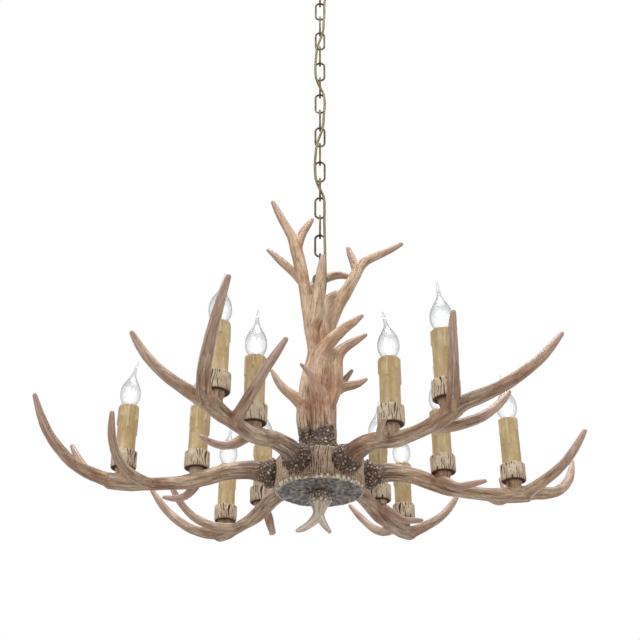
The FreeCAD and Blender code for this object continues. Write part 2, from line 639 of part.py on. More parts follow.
def antler_arm(casting, number):
    arm = casting.copy()
    arm.Placement = settle(number)
    seats = []
    holes = []
    for place in (INNER_CANDLE, OUTER_CANDLE):
        top = candle_spot(number, place)
        seats.append(Part.makeCone(SEAT_FOOT_R, SEAT_R, SEAT_DEPTH, top - V(0, 0, SEAT_DEPTH)))
        holes.append(rod(NIPPLE_R + SEAT_GAP, SEAT_DEPTH, top - V(0, 0, SEAT_DEPTH - 2)))
    arm = fused([arm] + seats)
    arm = arm.cut(Part.makeCompound(holes))
    cup_room = []
    for place in (INNER_CANDLE, OUTER_CANDLE):
        cup_room.append(rod(CUP_R + 1, CUP_H, candle_spot(number, place)))
    drum_room = rod(DRUM_R, DRUM_ROOM_H, V(0, 0, DRUM_TOP_UP - DRUM_ROOM_H / 2))
    bolt_room = spun(arm_bolt_hole(), arm_azimuth(number))
    return biggest(arm.cut(drum_room).cut(bolt_room).cut(Part.makeCompound(cup_room)))


def bark_cup():
    bore = SLEEVE_R + SEAT_GAP
    nipple_hole = NIPPLE_R + SEAT_GAP
    cup = turned((
        (nipple_hole, 0), (CUP_FOOT_R, 0), (CUP_R, CUP_ROUNDING), (CUP_R, CUP_H - CUP_LIP),
        (CUP_R - CUP_LIP, CUP_H), (bore, CUP_H), (bore, CUP_FLOOR), (nipple_hole, CUP_FLOOR),
    ))
    grooves = []
    for k in range(CUP_GROOVES):
        groove = rod(CUP_GROOVE_W / 2, CUP_H + 2, V(CUP_R + CUP_GROOVE_W / 2 - CUP_GROOVE_DEPTH, 0, -1))
        grooves.append(spun(groove, (k + 0.2 * math.sin(4 * k)) * 360 / CUP_GROOVES))
    return cup.cut(Part.makeCompound(grooves))


def candle_sleeve():
    """Tube that looks like a candle, with wax that has run down from its rim."""
    top = CUP_FLOOR + SLEEVE_H
    wax = []
    for angle, length, width in DRIPS:
        bead = Part.makeSphere(width, V(SLEEVE_R, 0, top - length))
        run = Part.makeCone(width * 0.6, width, length - 6, V(SLEEVE_R - 0.6 * width, 0, top - length))
        wax.append(spun(fused([bead, run]), angle))
    body = fused([rod(SLEEVE_R, SLEEVE_H, V(0, 0, CUP_FLOOR))] + wax)
    keep = rod(SLEEVE_R + 2.2, SLEEVE_H, V(0, 0, CUP_FLOOR))
    return body.common(keep).cut(rod(SLEEVE_R - SLEEVE_WALL, SLEEVE_H + 2, V(0, 0, CUP_FLOOR - 1)))


SLEEVE_TOP = CUP_FLOOR + SLEEVE_H
HOLDER_TOP = SLEEVE_TOP - HOLDER_BELOW_RIM
CAP_TOP = SLEEVE_TOP - CAP_TOP_BELOW_RIM


def candle_nipple():
    low = -SEAT_DEPTH + 3
    return tube(NIPPLE_R, NIPPLE_BORE_R, HOLDER_TOP - HOLDER_H + 4 - low, V(0, 0, low))


def candle_nut():
    base = V(0, 0, CUP_FLOOR)
    nut = hexagon(CANDLE_NUT_ACROSS, CANDLE_NUT_H, base)
    return nut.cut(rod(NIPPLE_R + SEAT_GAP, CANDLE_NUT_H + 2, base - UP))


def lamp_holder():
    base = HOLDER_TOP - HOLDER_H
    body = rod(HOLDER_R, HOLDER_H, V(0, 0, base))
    body = body.cut(rod(HOLDER_BORE_R, HOLDER_BORE_DEPTH + 1, V(0, 0, HOLDER_TOP - HOLDER_BORE_DEPTH)))
    return body.cut(rod(NIPPLE_R + SEAT_GAP, 4.1, V(0, 0, base)))


def bulb_cap():
    """E14 screw cap with the glass stem and the filament that it carries."""
    bottom = CAP_TOP - CAP_H
    shell = turned(((0, bottom), (CAP_R - 1.5, bottom), (CAP_R, bottom + 2), (CAP_R, CAP_TOP),
                    (CAP_R - CAP_WALL, CAP_TOP), (CAP_R - CAP_WALL, bottom + 4), (0, bottom + 4)))
    contact = rod(CONTACT_R, CONTACT_H + OVERLAP, V(0, 0, bottom - CONTACT_H))
    stem_base = bottom + 4 - OVERLAP
    stem = Part.makeCone(STEM_R * 1.6, STEM_R, STEM_H + CAP_H - 4, V(0, 0, stem_base))
    wires = []
    for side in (-1, 1):
        foot = V(side * STEM_R * 0.5, 0, stem_base + STEM_H + CAP_H - 6)
        reach = V(side * (FILAMENT_SPREAD - STEM_R * 0.5), 0, FILAMENT_H)
        wires.append(rod(FILAMENT_R, reach.Length, foot, reach))
    left = V(-FILAMENT_SPREAD, 0, foot.z + FILAMENT_H - FILAMENT_R)
    bridge = rod(FILAMENT_R, 2 * FILAMENT_SPREAD, left, V(1, 0, 0))
    return fused([shell, contact, stem, bridge] + wires)


def bulb_glass():
    """Hollow flame-shaped bulb, drawn out to a thin tip."""
    outer = [(r, SLEEVE_TOP + z) for r, z in GLASS_PROFILE]
    inner = [(max(r - GLASS_WALL, 0.4), z) for r, z in outer[:-2]]
    wall = Part.BSplineCurve()
    wall.interpolate([V(r, 0, z) for r, z in outer])
    hollow = Part.BSplineCurve()
    hollow.interpolate([V(r, 0, z) for r, z in inner])
    outline = Part.Wire([
        wall.toShape(),
        Part.LineSegment(V(outer[-1][0], 0, outer[-1][1]), V(0, 0, outer[-1][1])).toShape(),
        Part.LineSegment(V(0, 0, outer[-1][1]), V(0, 0, inner[-1][1])).toShape(),
        Part.LineSegment(V(0, 0, inner[-1][1]), V(inner[-1][0], 0, inner[-1][1])).toShape(),
        hollow.toShape().reversed(),
        Part.LineSegment(V(inner[0][0], 0, inner[0][1]), V(outer[0][0], 0, outer[0][1])).toShape(),
    ])
    return Part.Face(outline).revolve(V(0, 0, 0), UP, 360)


def terminal_block(size, cord_end, base):
    """A block whose near side stands where the cord ends."""
    return Part.makeBox(*size, V(cord_end[0], -size[1] / 2, base))


def export(name, shapes, offset=V(0, 0, 0)):
    shapes = shapes if isinstance(shapes, list) else [shapes]
    placed = [moved(shape, offset) for shape in shapes]
    whole = placed[0] if len(placed) == 1 else Part.makeCompound(placed)
    if not whole.isValid():
        print(name, "is not valid")
    count = len(whole.Solids)
    print(name, count, "solid" if count == 1 else "solids", round(whole.Volume / 1000, 1), "cm3")
    whole.exportStep(os.path.join("parts", name + ".step"))


def main():
    os.makedirs("parts", exist_ok=True)
    print("drum underside at", round(HUB_Z, 1))
    print("sway pivot at", round(SWAY_Z, 2), "swing pivot at", round(SWING_Z, 2))
    export("mounting_bar", mounting_bar())
    export("canopy", canopy())
    export("canopy_nipple", canopy_nipple())
    export("canopy_ring_nut", ring_nut())
    export("canopy_loop", canopy_loop())
    block_underside = -BAR_THICK - CEILING_BLOCK[2]
    export("ceiling_terminal_block", terminal_block(CEILING_BLOCK, CORD_IN_CANOPY[0], block_underside))
    export("top_link", chain_link(1))
    export("chain_links", [chain_link(number) for number in range(2, LINK_COUNT + 1)])
    export("cord_at_top_link", cord_tube(CORD_AT_LINK, CORD_D, "cord_at_top_link"))
    export("cord_in_canopy", cord_tube(CORD_IN_CANOPY, CORD_D, "cord_in_canopy"))
    export("supply_cord", cord_tube(cord_route(), CORD_D, "supply_cord"))
    export("column_loop", column_loop(), HUB)
    export("tie_rod", tie_rod(), HUB)
    export("hub_drum", hub_drum(), HUB)
    export("bottom_plate", bottom_plate(), HUB)
    export("hub_nut", hub_nut(), HUB)
    export("hub_terminal_block", terminal_block(HUB_BLOCK, CORD_IN_COLUMN[-1], PLATE_H), HUB)
    export("column_screws", [column_screw(x, y) for x, y in COLUMN_SCREW_SPOTS], HUB)
    export("finial", finial(), HUB)
    for name, antler in zip(("front", "left", "right"), column_antlers()):
        export("column_antler_" + name, antler, HUB)
    azimuths = [arm_azimuth(number) for number in range(ARM_COUNT)]
    export("arm_bolts", [spun(arm_bolt(), azimuth) for azimuth in azimuths], HUB)
    export("arm_washers", [spun(arm_washer(), azimuth) for azimuth in azimuths], HUB)
    casting = arm_casting()
    for number in range(ARM_COUNT):
        export("antler_arm_%d" % (number + 1), antler_arm(casting, number), HUB)
    spots = {}
    for ring, place in (("inner", INNER_CANDLE), ("outer", OUTER_CANDLE)):
        for number in range(ARM_COUNT):
            spots["%s_bulb_%d" % (ring, number + 1)] = candle_spot(number, place) + HUB
    for name, piece in (("bark_cups", bark_cup()), ("candle_sleeves", candle_sleeve()),
                        ("candle_nipples", candle_nipple()), ("candle_nuts", candle_nut()),
                        ("lamp_holders", lamp_holder())):
        export(name, [moved(piece, spot) for spot in spots.values()])
    cap = bulb_cap()
    glass = bulb_glass()
    for name, spot in spots.items():
        export(name + "_cap", moved(cap, spot))
        export(name + "_glass", moved(glass, spot))


main()
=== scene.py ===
import json
import math

import bpy
import numpy as np
from mathutils import Matrix, Vector, noise


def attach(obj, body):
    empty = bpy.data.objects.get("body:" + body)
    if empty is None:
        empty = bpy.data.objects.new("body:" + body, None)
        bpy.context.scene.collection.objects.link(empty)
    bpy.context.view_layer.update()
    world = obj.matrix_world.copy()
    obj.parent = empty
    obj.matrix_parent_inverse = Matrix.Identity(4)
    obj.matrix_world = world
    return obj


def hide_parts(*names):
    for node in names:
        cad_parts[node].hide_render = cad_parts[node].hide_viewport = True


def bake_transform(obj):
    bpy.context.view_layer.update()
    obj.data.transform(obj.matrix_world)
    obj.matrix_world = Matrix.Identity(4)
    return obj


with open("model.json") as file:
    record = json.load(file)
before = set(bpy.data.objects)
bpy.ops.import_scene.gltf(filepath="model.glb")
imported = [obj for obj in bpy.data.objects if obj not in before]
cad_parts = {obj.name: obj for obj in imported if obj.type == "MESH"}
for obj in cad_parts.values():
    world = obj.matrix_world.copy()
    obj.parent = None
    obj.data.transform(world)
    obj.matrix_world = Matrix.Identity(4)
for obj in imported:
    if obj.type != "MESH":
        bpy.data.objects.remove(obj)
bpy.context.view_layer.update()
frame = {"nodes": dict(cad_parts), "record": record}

# Antler chandelier. Sizes are in millimetres and become metres where a piece is drawn.
# Heights in the limb lists are above the drum's underside, which hangs HUB_Z under the ceiling.
MM = 0.001
HUB_Z = -1251.3
HUB = Vector((0, 0, HUB_Z * MM))
TO_HUB = Matrix.Translation(HUB)

TINE_SIDES = 20
ANTLER_VOXEL = 1.2
FINIAL_VOXEL = 0.8
ARM_COUNT = 6
DRUM_R = 74.0
DRUM_TOP_UP = 52.0
PLATE_H = 6.0
PLATE_R = 73.0
ARM_PIVOT = Vector((74.0, 0, 33.0))
# For each arm: its turn from its even place round the hub, its roll and its nod, in degrees.
ARM_SET = (
    (1.0, 0.0, -2.4), (-2.4, 0.0, 2.5), (0.6, 1.0, 1.0),
    (-1.0, -1.0, 0.0), (0.1, 3.0, 1.0), (1.1, -3.5, 1.0),
)

# -------- one arm: (out, left, up, diameter)
BEAM = (
    (66, 1, 31, 47), (80, 3, 33, 43), (92, 3, 35, 36), (113, 4, 38, 31), (144, 4, 37, 27),
    (173, 6, 29, 27), (202, 8, 20, 26), (227, 10, 15, 23), (252, 12, 13, 21), (276, 14, 12, 21),
    (300, 15, 12, 24), (322, 16, 14, 26), (343, 16, 17, 27),
)
OUTER_TINE = (
    (330, 14, 15, 25), (356, 22, 21, 22), (377, 35, 27, 20), (396, 50, 35, 18), (415, 70, 52, 17),
    (431, 90, 73, 14.5), (441, 107, 96, 12), (449, 124, 122, 5.5),
)
INNER_TINE = (
    (338, 15, 16, 24), (352, 3, 24, 20), (376, -14, 39, 17), (393, -27, 53, 14.5),
    (407, -38, 70, 13), (418, -46, 87, 11), (428, -52, 105, 5.5),
)
FRONT_TINE = (
    (276, 14, 12, 20), (291, 36, 13, 18), (307, 60, 20, 16), (318, 83, 33, 14),
    (323, 103, 51, 12.5), (323, 119, 69, 10.5), (321, 133, 87, 5.5),
)
BROW_TINE = (
    (193, 4, 27, 18), (203, -12, 22, 16), (213, -22, 12, 14.5), (225, -32, 6, 12.5),
    (237, -41, 6, 10.5), (250, -47, 8, 8), (263, -50, 11, 4),
)
BURR_COLLAR = ((75, 2, 32, 42), (79, 2.5, 32.5, 50), (84, 3, 33.5, 49), (90, 3, 35, 37))
INNER_CANDLE = (203.0, 2.0, 41.0)
OUTER_CANDLE = (321.0, 16.0, 37.0)
SEAT_DEPTH = 18.0

# -------- column: (x, y, up, diameter)
FRONT_BEAM = (
    (4, -12, 52, 62), (4, -12, 66, 60), (5, -13, 82, 46), (5, -14, 104, 38), (4, -16, 130, 35),
    (1, -20, 165, 37), (-2, -26, 200, 39), (1, -32, 232, 33), (16, -38, 256, 24),
    (38, -42, 278, 18), (57, -43, 293, 14), (73, -44, 306, 5),
)
FRONT_BRANCH = (
    (8, -14, 140, 30), (20, -14, 172, 30), (25, -15, 200, 30), (25, -16, 226, 29),
    (31, -14, 246, 24), (44, -10, 262, 18), (62, -6, 277, 13.5), (81, -4, 290, 5),
)
FRONT_LOW_TINE = (
    (18, -12, 172, 26), (36, -6, 186, 20), (52, -3, 191, 15), (66, -1, 196, 12), (80, 0, 205, 4),
)
FRONT_SMALL_TINE = (
    (4, -30, 160, 18), (-8, -39, 181, 12), (-20, -44, 197, 8.5), (-32, -47, 210, 3.5),
)
LEFT_BEAM = (
    (-12, 4, 52, 42), (-13, 3, 66, 41), (-18, 2, 90, 33), (-25, 0, 128, 30), (-24, -1, 170, 28),
    (-20, -1, 200, 30), (-13, -1, 226, 31), (-8, -2, 250, 29), (-9, -4, 270, 28), (-16, -8, 308, 26),
    (-22, -12, 349, 24), (-30, -14, 398, 22), (-41, -16, 452, 24), (-46, -17, 474, 23),
    (-54, -20, 492, 18), (-69, -25, 519, 14), (-80, -28, 541, 11), (-88, -30, 558, 6),
)
LEFT_FORK_TINE = (
    (-42, -16, 462, 20), (-36, -15, 488, 16.5), (-27, -12, 510, 14), (-20, -11, 523, 11),
    (-14, -10, 533, 5),
)
LEFT_FRONT_TINE = (
    (-12, -8, 300, 25), (-6, -18, 330, 25), (-3, -25, 358, 23), (0, -30, 385, 19),
    (2, -33, 408, 15), (4, -35, 424, 11), (5, -35, 436, 5.5),
)
LEFT_BACK_TINE = (
    (-32, -12, 396, 18), (-48, -2, 421, 16), (-66, 4, 443, 15), (-82, 8, 462, 11.5), (-97, 10, 478, 5),
)
LEFT_CURL_TINE = (
    (-22, -9, 362, 19), (-18, 8, 388, 19), (-6, 21, 411, 18.5), (12, 28, 427, 17),
    (30, 31, 435, 14.5), (45, 29, 433, 12), (58, 25, 425, 7),
)
LEFT_LOW_TINE = (
    (-26, -2, 152, 24), (-44, -8, 168, 19), (-60, -12, 179, 15), (-73, -14, 196, 11), (-83, -15, 215, 4),
)
RIGHT_BEAM = (
    (12, 16, 52, 42), (12, 17, 66, 40), (13, 19, 90, 31), (14, 21, 130, 29), (14, 24, 190, 28),
    (9, 26, 250, 27), (12, 20, 308, 28), (20, 14, 332, 28), (31, 8, 356, 26), (43, 3, 375, 24),
    (54, 0, 394, 22), (64, 0, 415, 21), (72, 1, 433, 20), (85, 2, 448, 17), (104, 4, 460, 15),
    (130, 5, 474, 12), (152, 5, 488, 6),
)
RIGHT_SMALL_TINE = (
    (68, 0, 424, 18), (61, 0, 446, 14.5), (56, 0, 461, 11.5), (52, 0, 475, 6),
)
RIGHT_REAR_TINE = (
    (16, 21, 178, 20), (34, 18, 200, 13), (46, 15, 215, 9), (56, 12, 228, 4),
)
RIGHT_WEB = (
    (10, 15, 292, 18), (14, 13, 322, 22), (18, 11, 345, 23), (22, 9, 361, 20), (25, 8, 372, 13),
)
RIGHT_FILL = (
    (3, -3, 262, 20), (4, -4, 290, 21), (5, -4, 318, 20), (7, -1, 345, 20), (12, 4, 363, 19),
    (22, 6, 372, 20), (33, 6, 378, 18),
)

FINIAL = (
    (0, 0, 0, 27), (0, 0, -8, 34), (0, 0, -15, 36), (-1, 0, -24, 27), (-2, 0, -34, 19),
    (-8, 0, -45, 15), (-20, 0, -56, 11), (-29, 0, -61, 8.5), (-37, 0, -64, 4),
)
FINIAL_TINE = ((-2, 0, -32, 15), (3, 0, -47, 11.5), (9, 0, -57, 9), (16, 0, -66, 4))

# -------- candles and bulbs
# Heights are above the cup's foot; those of the bulb are above the sleeve's rim.
CUP_R = 21.0
CUP_FOOT_R = 18.5
CUP_H = 29.0
CUP_FLOOR = 8.0
SLEEVE_R = 16.0
SLEEVE_BORE_R = 13.8
SLEEVE_TOP = 110.4
# Wax runs, as (degrees round the candle, length, half width).
DRIPS = ((20, 34, 3.0), (75, 22, 2.4), (120, 44, 3.2), (175, 28, 2.6), (230, 50, 3.0), (290, 24, 2.6))
# Outside of the glass, as (radius, height).
GLASS_PROFILE = (
    (6.0, -5.0), (6.0, -2.5), (7.8, 0.8), (12.4, 7.0), (16.3, 15.0), (17.5, 24.0), (16.2, 34.0),
    (12.6, 43.0), (8.4, 50.5), (5.2, 57.0), (3.5, 64.0), (2.6, 73.0), (2.0, 80.0), (1.2, 86.0),
)


# ======== colours and node helpers
def tint(code):
    """Linear colour of a given swatch."""
    parts = [int(code[i:i + 2], 16) / 255 for i in (0, 2, 4)]
    return tuple(p / 12.92 if p <= 0.04045 else ((p + 0.055) / 1.055) ** 2.4 for p in parts) + (1.0,)


def node(tree, kind, **settings):
    made = tree.nodes.new(kind)
    for name, value in settings.items():
        setattr(made, name, value)
    return made


def feed(value, target, socket):
    """Sets a node's socket to a number or a swatch, or links it to another socket."""
    if isinstance(value, (int, float)):
        target.inputs[socket].default_value = value
    elif isinstance(value, str):
        target.inputs[socket].default_value = tint(value)
    else:
        target.id_data.links.new(value, target.inputs[socket])


def ramp(source, stops):
    """Colour ramp over listed (position, swatch or grey) stops."""
    made = node(source.id_data, "ShaderNodeValToRGB")
    band = made.color_ramp
    while len(band.elements) < len(stops):
        band.elements.new(0.5)
    for element, (place, code) in zip(band.elements, stops):
        element.position = place
        element.color = tint(code) if isinstance(code, str) else (code, code, code, 1)
    feed(source, made, "Fac")
    return made.outputs["Color"]


def blend_colour(factor, first, second, mode="MIX"):
    made = node(first.id_data, "ShaderNodeMix", data_type="RGBA", blend_type=mode)
    for value, socket in ((factor, 0), (first, 6), (second, 7)):
        feed(value, made, socket)
    return made.outputs[2]


def maths(kind, first, second=0.0):
    tree = (second if isinstance(first, float) else first).id_data
    made = node(tree, "ShaderNodeMath", operation=kind)
    feed(first, made, 0)
    feed(second, made, 1)
    return made.outputs[0]


def plus(first, second):
    return maths("ADD", first, second)


def times(first, second):
    return maths("MULTIPLY", first, second)


def stretched(vector, stretch):
    space = node(vector.id_data, "ShaderNodeMapping")
    space.inputs["Scale"].default_value = stretch
    feed(vector, space, "Vector")
    return space.outputs[0]


def cloud(vector, scale, detail, roughness):
    made = node(vector.id_data, "ShaderNodeTexNoise")
    feed(vector, made, "Vector")
    feed(scale, made, "Scale")
    feed(detail, made, "Detail")
    feed(roughness, made, "Roughness")
    return made.outputs["Fac"]


def speckle(tree, scale, detail, stretch=(1, 1, 1)):
    """Noise over the piece's own space."""
    place = node(tree, "ShaderNodeTexCoord").outputs["Object"]
    return cloud(stretched(place, stretch), scale, detail, 0.6)


def carved(tree, name):
    """A number that the carving left on the surface."""
    return node(tree, "ShaderNodeAttribute", attribute_name=name).outputs["Fac"]


def along(tree):
    """The place round and along the piece, left by the carving."""
    return node(tree, "ShaderNodeAttribute", attribute_name="grain").outputs["Vector"]


def new_finish(name, roughness=0.5, metallic=0.0):
    finish = bpy.data.materials.new(name)
    finish.use_nodes = True
    tree = finish.node_tree
    shader = tree.nodes["Principled BSDF"]
    feed(roughness, shader, "Roughness")
    feed(metallic, shader, "Metallic")
    return finish, tree, shader


def surface(shader, colour, roughness, height, strength, distance):
    """Feeds the shader its colour, its roughness and a bump of `distance` metres."""
    bump = node(shader.id_data, "ShaderNodeBump")
    feed(strength, bump, "Strength")
    feed(distance, bump, "Distance")
    feed(height, bump, "Height")
    feed(bump.outputs[0], shader, "Normal")
    feed(colour, shader, "Base Color")
    feed(roughness, shader, "Roughness")


def grain_group():
    """Streaks along a limb, and cracks among them, shared by antler, bark and candle."""
    group = bpy.data.node_groups.new("streaks_and_cracks", "ShaderNodeTree")
    group.interface.new_socket("Vector", in_out="INPUT", socket_type="NodeSocketVector")
    for way, names in (("INPUT", ("Scale", "Crack Width")), ("OUTPUT", ("Streaks", "Cracks"))):
        for name in names:
            group.interface.new_socket(name, in_out=way, socket_type="NodeSocketFloat")
    start = node(group, "NodeGroupInput")
    end = node(group, "NodeGroupOutput")
    clouds = []
    for finer, detail, roughness in ((1.0, 8, 0.62), (4.5, 5, 0.5), (1.7, 3, 0.45)):
        scale = times(start.outputs["Scale"], finer)
        clouds.append(cloud(start.outputs["Vector"], scale, detail, roughness))
    broad, fine, crack = clouds
    feed(plus(times(broad, 0.7), times(fine, 0.3)), end, "Streaks")
    off_line = maths("ABSOLUTE", maths("SUBTRACT", crack, 0.5))
    shut = maths("SUBTRACT", 1.0, maths("DIVIDE", off_line, start.outputs["Crack Width"]))
    shut.node.use_clamp = True
    feed(shut, end, "Cracks")
    return group


GRAIN = grain_group()


def grain(tree, stretch, scale, crack_width):
    made = node(tree, "ShaderNodeGroup", node_tree=GRAIN)
    feed(stretched(along(tree), (1, 1, stretch)), made, "Vector")
    feed(scale, made, "Scale")
    feed(crack_width, made, "Crack Width")
    return made.outputs["Streaks"], made.outputs["Cracks"]


# ======== finishes
def antler_finish():
    """Cast antler: grey-brown arms, darker partly as painted shade, a paler column, dark runs out of the
    burr, short dark cracks, and painted highlights and shade on the burr's knobs.
    """
    finish, tree, shader = new_finish("antler")
    streaks, cracks = grain(tree, 9, 2.6, 0.022)
    tone = carved(tree, "tone")
    patches = speckle(tree, 13, 4)
    # The arms' ramp is darker partly as painted shade, for their shaded undersides; the rest is their own
    # grey-brown.
    arms = ramp(streaks, (
        (0.28, "453125"), (0.40, "775c49"), (0.50, "a2866d"), (0.60, "c6ae95"), (0.74, "ead9c5")))
    pale = ramp(streaks, (
        (0.28, "966f50"), (0.40, "c79c76"), (0.50, "debd9a"), (0.60, "eed5b8"), (0.74, "faeddd")))
    body = blend_colour(tone, arms, pale)
    rusty = ramp(patches, ((0.48, 0.0), (0.66, 0.75)))
    body = blend_colour(rusty, body, "c3906a", "MULTIPLY")
    tips = ramp(streaks, ((0.30, "8d6e5e"), (0.46, "ad8c7b"), (0.58, "c1a595"), (0.72, "d6c2b5")))
    thick = ramp(carved(tree, "girth"), ((0.28, 0.0), (0.55, 1.0)))
    colour = blend_colour(thick, tips, body)
    ivory = ramp(streaks, ((0.30, "a08c7c"), (0.46, "d2c1af"), (0.58, "eaddcc"), (0.72, "fbf4eb")))
    finial_only = ramp(tone, ((0.80, 0.0), (0.95, 1.0)))
    colour = blend_colour(finial_only, colour, ivory)
    runs = cloud(stretched(along(tree), (5.5, 5.5, 14)), 1.0, 6, 0.6)
    reach = plus(runs, times(carved(tree, "stain"), 0.20))
    stained = ramp(reach, ((0.60, 0.0), (0.70, 0.88)))
    streak = ramp(patches, ((0.42, "2e1e15"), (0.60, "5a3a26")))
    colour = blend_colour(stained, colour, streak)
    grit = speckle(tree, 260, 3)
    # Painted light on the burr: cream highlights on the knob tops and near-black shade in the pits between
    # knobs, over the burr's own brown, ivory on the finial.
    knob_height_for_painted_light = plus(times(carved(tree, "relief"), 0.8), times(grit, 0.3))
    dark_burr_lit_and_shaded = ramp(knob_height_for_painted_light, ((0.24, "170e09"), (0.50, "412a1e"), (0.70, "7b5b45"), (0.90, "d3bb9d")))
    pale_burr_lit_and_shaded = ramp(knob_height_for_painted_light, ((0.24, "33251b"), (0.44, "8f7d68"), (0.62, "cfc1aa"), (0.84, "ece3d0")))
    knobs = blend_colour(finial_only, dark_burr_lit_and_shaded, pale_burr_lit_and_shaded)
    burr = carved(tree, "burr")
    colour = blend_colour(burr, colour, knobs)
    where = ramp(speckle(tree, 42, 3), ((0.44, 0.15), (0.56, 1.0)))
    colour = blend_colour(times(cracks, where), colour, "38251a")
    rough = ramp(streaks, ((0.3, 0.55), (0.7, 0.34)))
    height = maths("SUBTRACT", streaks, times(cracks, 0.6))
    height = plus(height, times(burr, grit))
    height = times(height, plus(0.35, times(thick, 0.65)))
    surface(shader, colour, rough, height, 0.6, 0.0012)
    return finish


def bark_finish():
    """Bark of the drum, darker partly as painted shade, and, paler, of the cups: fine ridges between thin
    dark cracks, with painted shade on the cups' foot.
    """
    finish, tree, shader = new_finish("bark")
    relief = carved(tree, "relief")
    streaks, cracks = grain(tree, 14, 7, 0.02)
    # The drum's ramp is darker than the cups' partly as painted shade on the drum's side.
    drum = ramp(streaks, ((0.32, "86705b"), (0.46, "ab937b"), (0.58, "c4af97"), (0.72, "dccbb5")))
    cups = ramp(streaks, ((0.32, "a8927a"), (0.46, "cab69c"), (0.58, "dccbb2"), (0.72, "efe4d0")))
    base = blend_colour(carved(tree, "tone"), drum, cups)
    rusty = ramp(speckle(tree, 38, 5), ((0.46, 0.0), (0.68, 0.55)))
    base = blend_colour(rusty, base, "b4937a", "MULTIPLY")
    # Dark in the cracks, and as painted shade on the cups' foot, where the relief is low.
    deep = ramp(relief, ((0.10, "2b1c14"), (0.45, "6b5140"), (0.80, "ffffff")))
    colour = blend_colour(1.0, base, deep, "MULTIPLY")
    rough = ramp(relief, ((0.2, 0.92), (0.9, 0.55)))
    surface(shader, colour, rough, maths("SUBTRACT", streaks, cracks), 0.5, 0.0008)
    return finish


def plate_finish():
    """Underside of the hub: grey with dark pits, brown in the middle, with a thin cream rim."""
    finish, tree, shader = new_finish("dark_plate")
    relief = carved(tree, "relief")
    mottle = speckle(tree, 150, 4, (1, 0.5, 1))
    grey = ramp(mottle, ((0.32, "40383a"), (0.50, "625a58"), (0.68, "8f867e")))
    brown = ramp(mottle, ((0.34, "33261e"), (0.50, "57463a"), (0.66, "8a7866")))
    field = blend_colour(carved(tree, "middle"), grey, brown)
    pits = ramp(relief, ((0.35, "2a211d"), (0.72, "ffffff")))
    field = blend_colour(1.0, field, pits, "MULTIPLY")
    pale = ramp(relief, ((0.10, "5d4d3d"), (0.50, "b3a188"), (0.85, "e6dac4")))
    colour = blend_colour(carved(tree, "rim"), field, pale)
    rough = ramp(mottle, ((0.35, 0.68), (0.65, 0.45)))
    surface(shader, colour, rough, mottle, 0.4, 0.0008)
    return finish


def candle_finish():
    """Ochre candle sleeve with wax runs, stains and fine pits."""
    finish, tree, shader = new_finish("candle")
    streaks = grain(tree, 12, 1.6, 0.006)[0]
    mottle = speckle(tree, 36, 5)
    base = ramp(streaks, ((0.30, "9c8459"), (0.48, "b39b6f"), (0.60, "c6b086"), (0.74, "dac8a4")))
    stain = ramp(mottle, ((0.48, 0.0), (0.70, 0.45)))
    base = blend_colour(stain, base, "a57a3e")
    wax = ramp(carved(tree, "relief"), ((0.2, 0.0), (1.0, 0.35)))
    colour = blend_colour(wax, base, "dcc79c")
    pits = ramp(speckle(tree, 210, 2), ((0.70, 0.0), (0.75, 0.6)))
    colour = blend_colour(pits, colour, "6e5232")
    rough = ramp(mottle, ((0.35, 0.42), (0.7, 0.62)))
    surface(shader, colour, rough, plus(streaks, mottle), 0.25, 0.0008)
    shader.inputs["Subsurface Weight"].default_value = 0.06
    shader.inputs["Subsurface Radius"].default_value = (0.004, 0.0025, 0.0015)
    return finish


def brass_finish():
    """Aged brass of chain, loops and canopy: brown patina, rubbed bright on the wear spots."""
    finish, tree, shader = new_finish("aged_brass", metallic=1.0)
    patina = speckle(tree, 70, 8)
    scratch = speckle(tree, 300, 3, (1, 1, 0.15))
    colour = ramp(patina, ((0.32, "2f281d"), (0.50, "564a36"), (0.64, "7c6d51"), (0.78, "a69777")))
    colour = blend_colour(0.3, colour, ramp(scratch, ((0.3, "3f382e"), (0.7, "93866f"))))
    rough = ramp(patina, ((0.35, 0.62), (0.75, 0.30)))
    surface(shader, colour, rough, scratch, 0.12, 0.0004)
    return finish


def cord_finish():
    """Cloth-covered flex, olive-gold: threads cross at a slant round the cord."""
    finish, tree, shader = new_finish("cord_jacket")
    parts = node(tree, "ShaderNodeSeparateXYZ")
    feed(along(tree), parts, "Vector")
    turns = times(maths("ARCTAN2", parts.outputs["Y"], parts.outputs["X"]), 5.0)
    length = times(parts.outputs["Z"], 2800.0)
    threads = []
    for way in ("ADD", "SUBTRACT"):
        wave = maths("SINE", maths(way, length, turns))
        threads.append(times(plus(wave, 1.0), 0.5))
    weave = times(threads[0], threads[1])
    patches = speckle(tree, 30, 4)
    colour = ramp(weave, ((0.05, "6b6240"), (0.40, "9c9564"), (0.85, "c6bd90")))
    grime = ramp(patches, ((0.4, 0.0), (0.7, 0.5)))
    colour = blend_colour(grime, colour, "8d7c5c", "MULTIPLY")
    rough = ramp(patches, ((0.3, 0.8), (0.7, 0.6)))
    surface(shader, colour, rough, weave, 0.5, 0.0004)
    return finish


